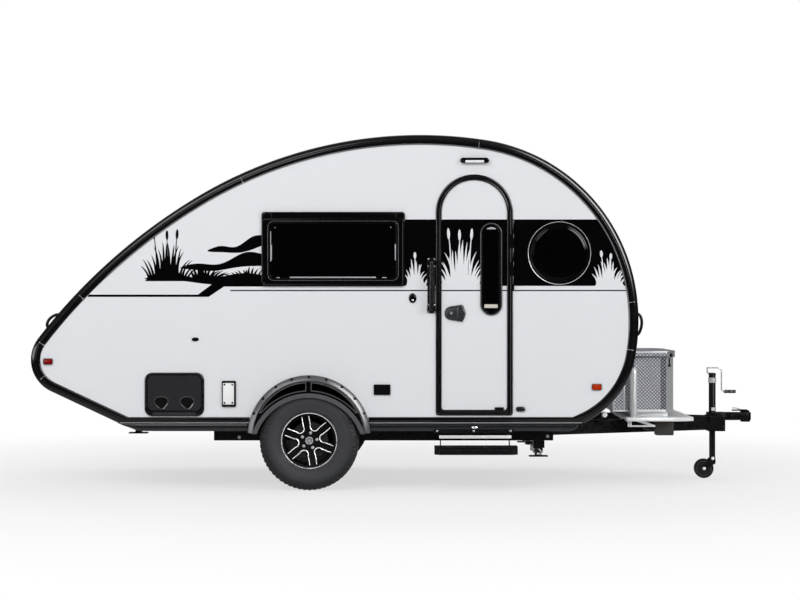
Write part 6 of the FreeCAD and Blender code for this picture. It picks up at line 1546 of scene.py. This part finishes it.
# low strips: x0, x1, z0, z1, how far out their wall is, proud, material, body, corner
BOX_STRIPS = (
    ("box_foot_strip", 1.774, 2.012, 0.548, 0.566, BOX_Y, 0.0024, SMOOTH, "trailer", 0.004),
    ("lid_top_strip", 1.764, 2.019, 0.9975, 1.0105, LID_Y, 0.0022, SMOOTH, "box_lid", 0.005),
    ("lid_low_strip", 1.764, 2.019, 0.9645, 0.9705, LID_Y, 0.0014, SHADE_AND_SEAM, "box_lid", 0.003),
)
TAIL_STRIPS = (
    ("tail_seam", 1.695, 1.701, 0.552, 0.76, TAIL_Y, 0.002, SMOOTH, "trailer", 0.002),
    ("tail_foot", 1.612, 1.736, 0.548, 0.56, TAIL_Y, 0.0026, SMOOTH, "trailer", 0.004),
)


def make_strips(strips, side, label):
    for name, x0, x1, z0, z1, out, proud, material, body, corner in strips:
        bar(f"{name}_{label}", x0, x1, z0, z1, side * out, proud, material, body, corner=corner)


def make_box_detail():
    for side, label in SIDES:
        face = side * BOX_Y
        # framing of the side: corner strips, and a column of plate painted darker ahead, which is painted
        # shade
        corner_sheet(f"box_corner_{label}", 0.549, 0.961, 0.0016, PALE, side, 0.02, 0.98)
        wedge(f"box_column_{label}", [(1.972, 0.55), (2.0145, 0.55), (2.0145, 0.96), (1.972, 0.96)],
            face - side * 0.001, face + side * 0.0012, PLATE_SHADED)
        make_strips(BOX_STRIPS, side, label)
        # rear corner pillar with a domed top
        pillar = [(0.0, 0.029), (0.335, 0.029), (0.353, 0.0262), (0.366, 0.019), (0.374, 0.009),
            (0.376, 0.0)]
        lathe(f"box_pillar_{label}", pillar, (1.765, side * 0.502, 0.512), (0, 0, 1), PALE, steps=48)
        # tail: pale edge strip along the slope
        wall = side * TAIL_Y
        wedge(f"tail_edge_{label}", [(1.611, 0.551), (1.626, 0.551), (1.626, 0.637), (1.756, 0.833),
            (1.756, 0.858), (1.611, 0.636)], wall - side * 0.001, wall + side * 0.0025, PALE)
        make_strips(TAIL_STRIPS, side, label)
        # latch across the lid's edge: the grip is on the lid, the keeper on the box
        middle = box_corner(side)[0].lerp(box_corner(side)[1], 0.35)
        out = Vector((0.899, side * 0.438, 0))
        across = Vector((out.y, -out.x, 0))
        for name, z0, z1, wide, tall, lift, body in (
                ("latch_grip", 0.966, 0.993, 0.02, 0.013, 0.013, "box_lid"),
                ("latch_rod", 0.905, 0.96, 0.006, 0.008, 0.0012, "trailer"),
                ("latch_keeper", 0.89, 0.908, 0.019, 0.011, 0.0012, "trailer")):
            centre = middle + Vector((0, 0, (z0 + z1) / 2))
            rows = [[centre + out * push + (across * wide * u + Vector((0, 0, (z1 - z0) / 2 * v))) * shrink
                     for u, v in ((-1, -1), (1, -1), (1, 1), (-1, 1))]
                    for push, shrink in ((lift - 0.002, 1.0), (lift + tall, 0.86))]
            carried(f"{name}_{label}", rows, PLASTIC, body, smooth=None)
    block("box_plinth", (1.7905, -0.472, 0.511), (2.0295, 0.472, 0.547), SMOOTH, edge=0.003)
    crown = rounded(1.8, 2.04, -0.43, 0.43, 0.05)
    verts = [(1.92 + (x - 1.92) * scale, y * scale, z) for scale, z in ((1.0, 1.011), (0.985, 1.0119))
             for x, y in crown]
    mesh_piece("lid_crown", verts, faces_between(2, len(crown), caps=(1,)), PLATE, "box_lid", smooth=None)


def make_deck_detail():
    for side, label in SIDES:
        bar(f"deck_lip_{label}", 1.703, 2.094, 0.484, 0.5085, side * 0.62, 0.0022, SMOOTH, corner=0.006)
        # a dark wedge where the gusset's hole is: painted shade
        wedge(f"gusset_hole_{label}", [(1.742, 0.45), (1.87, 0.45), (1.742, 0.49)], side * 0.58,
            side * 0.5826, SHADE_AND_SEAM)
        heads(f"gusset_bolts_{label}", [(1.727, side * 0.582, z) for z in (0.456, 0.478)], (0, side, 0),
            0.006, 0.006, ZINC)
    # equipment case: rounded shell with a lid seam and a stub of cable
    block("case_shell", (1.928, -0.54, 0.37), (2.069, -0.44, 0.5055), BRONZE, edge=0.012, steps=4)
    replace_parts(bpy.data.objects["case_shell"], "equipment_box")
    block("case_lid_seam", (1.927, -0.5405, 0.478), (2.07, -0.4395, 0.4815), SHADE_AND_SEAM, edge=0.001, steps=2)
    tube("case_cable", [(1.929, -0.5, 0.42), (1.88, -0.5, 0.412), (1.83, -0.52, 0.425)], 0.0055, PLASTIC,
        bend=0.02)
    lathe("drawbar_cap", [(0.0, 0.019), (0.008, 0.019), (0.011, 0.017), (0.012, 0.012), (0.011, 0.01),
        (0.0115, 0.0)], (1.531, -0.64, 0.533), (0, -1, 0), WHITE_PLASTIC, steps=40)
    lathe("drawbar_cap_seat", [(0.0, 0.023), (0.033, 0.023), (0.0345, 0.021), (0.0345, 0.0)],
        (1.531, -0.606, 0.533), (0, -1, 0), PLASTIC, steps=40)
    block("drawbar_cap_stand", (1.513, -0.63, 0.485), (1.549, -0.59, 0.52), CHASSIS, edge=0.003)


# ---------------------------------------------------------------- jack and coupler

def make_jack_detail():

    lathe("jack_collar", [(0.75, 0.028), (0.7515, 0.0312), (0.79, 0.0312), (0.7915, 0.028)], (JACK_X, 0, 0),
        (0, 0, 1), PALE, steps=64)
    lathe("jack_cap", [(0.809, 0.028), (0.812, 0.03), (0.822, 0.029), (0.8275, 0.022), (0.8285, 0.0)],
        (JACK_X, 0, 0), (0, 0, 1), PLASTIC, steps=64)
    block("jack_clamp", (2.405, -0.0745, 0.387), (2.535, 0.0745, 0.518), CHASSIS, edge=0.004)
    heads("jack_clamp_bolts", [(2.42 + 0.048 * column, -0.074, z) for column in (0, 2)
        for z in (0.405, 0.486)], (0, -1, 0), 0.009, 0.009, BOLT)
    bar("jack_label_blank", 2.433, 2.46, 0.53, 0.556, -0.0263, 0.0016, WHITE_PLASTIC, corner=0.003)
    # grip: a dark sleeve over the crank's handle
    lathe("jack_grip", [(0.0, 0.006), (0.0, 0.012), (0.004, 0.0132), (0.014, 0.0138), (0.018, 0.0128),
        (0.032, 0.0128), (0.036, 0.0138), (0.052, 0.0138), (0.056, 0.0128), (0.07, 0.0128), (0.076, 0.0138),
        (0.086, 0.013), (0.0905, 0.009), (0.091, 0.0)], (2.538, 0, 0.681), (1, 0, 0), SATIN, steps=40)
    lathe("caster_hub", [(-0.0235, 0.0), (-0.0235, 0.012), (-0.0225, 0.018), (-0.0215, 0.02),
        (0.0215, 0.02), (0.0225, 0.018), (0.0235, 0.012), (0.0235, 0.0)], CASTER, (0, 1, 0), PLASTIC,
        "caster_wheel", steps=40)
    for side, label in SIDES:
        lathe(f"caster_rim_{label}", [(0.0218, 0.06), (0.0228, 0.057), (0.0222, 0.054), (0.018, 0.052)],
            CASTER, (0, side, 0), SATIN, "caster_wheel", steps=72)
    tyre = [(-0.0218, 0.056), (-0.022, 0.068), (-0.019, 0.073), (-0.012, 0.0754), (0.0, 0.076),
        (0.012, 0.0754), (0.019, 0.073), (0.022, 0.068), (0.0218, 0.056)]
    lathe("caster_tyre", tyre, CASTER, (0, 1, 0), PLASTIC, "caster_wheel", "tyre", 96)
    heads("caster_bolts", [(JACK_X, -0.03, 0.156), (CASTER[0], -0.032, CASTER[2])], (0, -1, 0), 0.01, 0.008,
        SMOOTH, "caster")


def make_coupler_detail():
    heads("coupler_bolts", [(2.535, -0.062, 0.49), (2.585, -0.062, 0.49)], (0, -1, 0), 0.009, 0.0095, BOLT)
    heads("coupler_nuts", [(2.535, 0.062, 0.49), (2.585, 0.062, 0.49)], (0, 1, 0), 0.009, 0.011, ZINC)
    tube("coupler_lever", [(2.604, 0, 0.55), (2.615, 0, 0.553), (2.642, 0, 0.549), (2.664, 0, 0.54),
        (2.678, 0, 0.533)], 0.0042, ZINC, bend=0.005)
    block("coupler_latch", (2.66, -0.018, 0.53), (2.72, 0.018, 0.54), PLASTIC, edge=0.0035)


def make_wheels():
    for side, label in SIDES:
        make_tyre(side, label)
        make_rim_detail(side, label)


for make in (make_stage, paint_nodes, soften_nodes, make_trim, make_graphics, make_meadow,
             make_side_windows, make_portholes, make_end_windows, make_door_detail, make_wall_fittings,
             make_vents, make_lamps, make_grab_handles, make_fender_detail, make_wheels,
             make_skirt_detail, make_chassis_detail, make_step_detail, make_box_detail,
             make_deck_detail, make_jack_detail, make_coupler_detail):
    make()
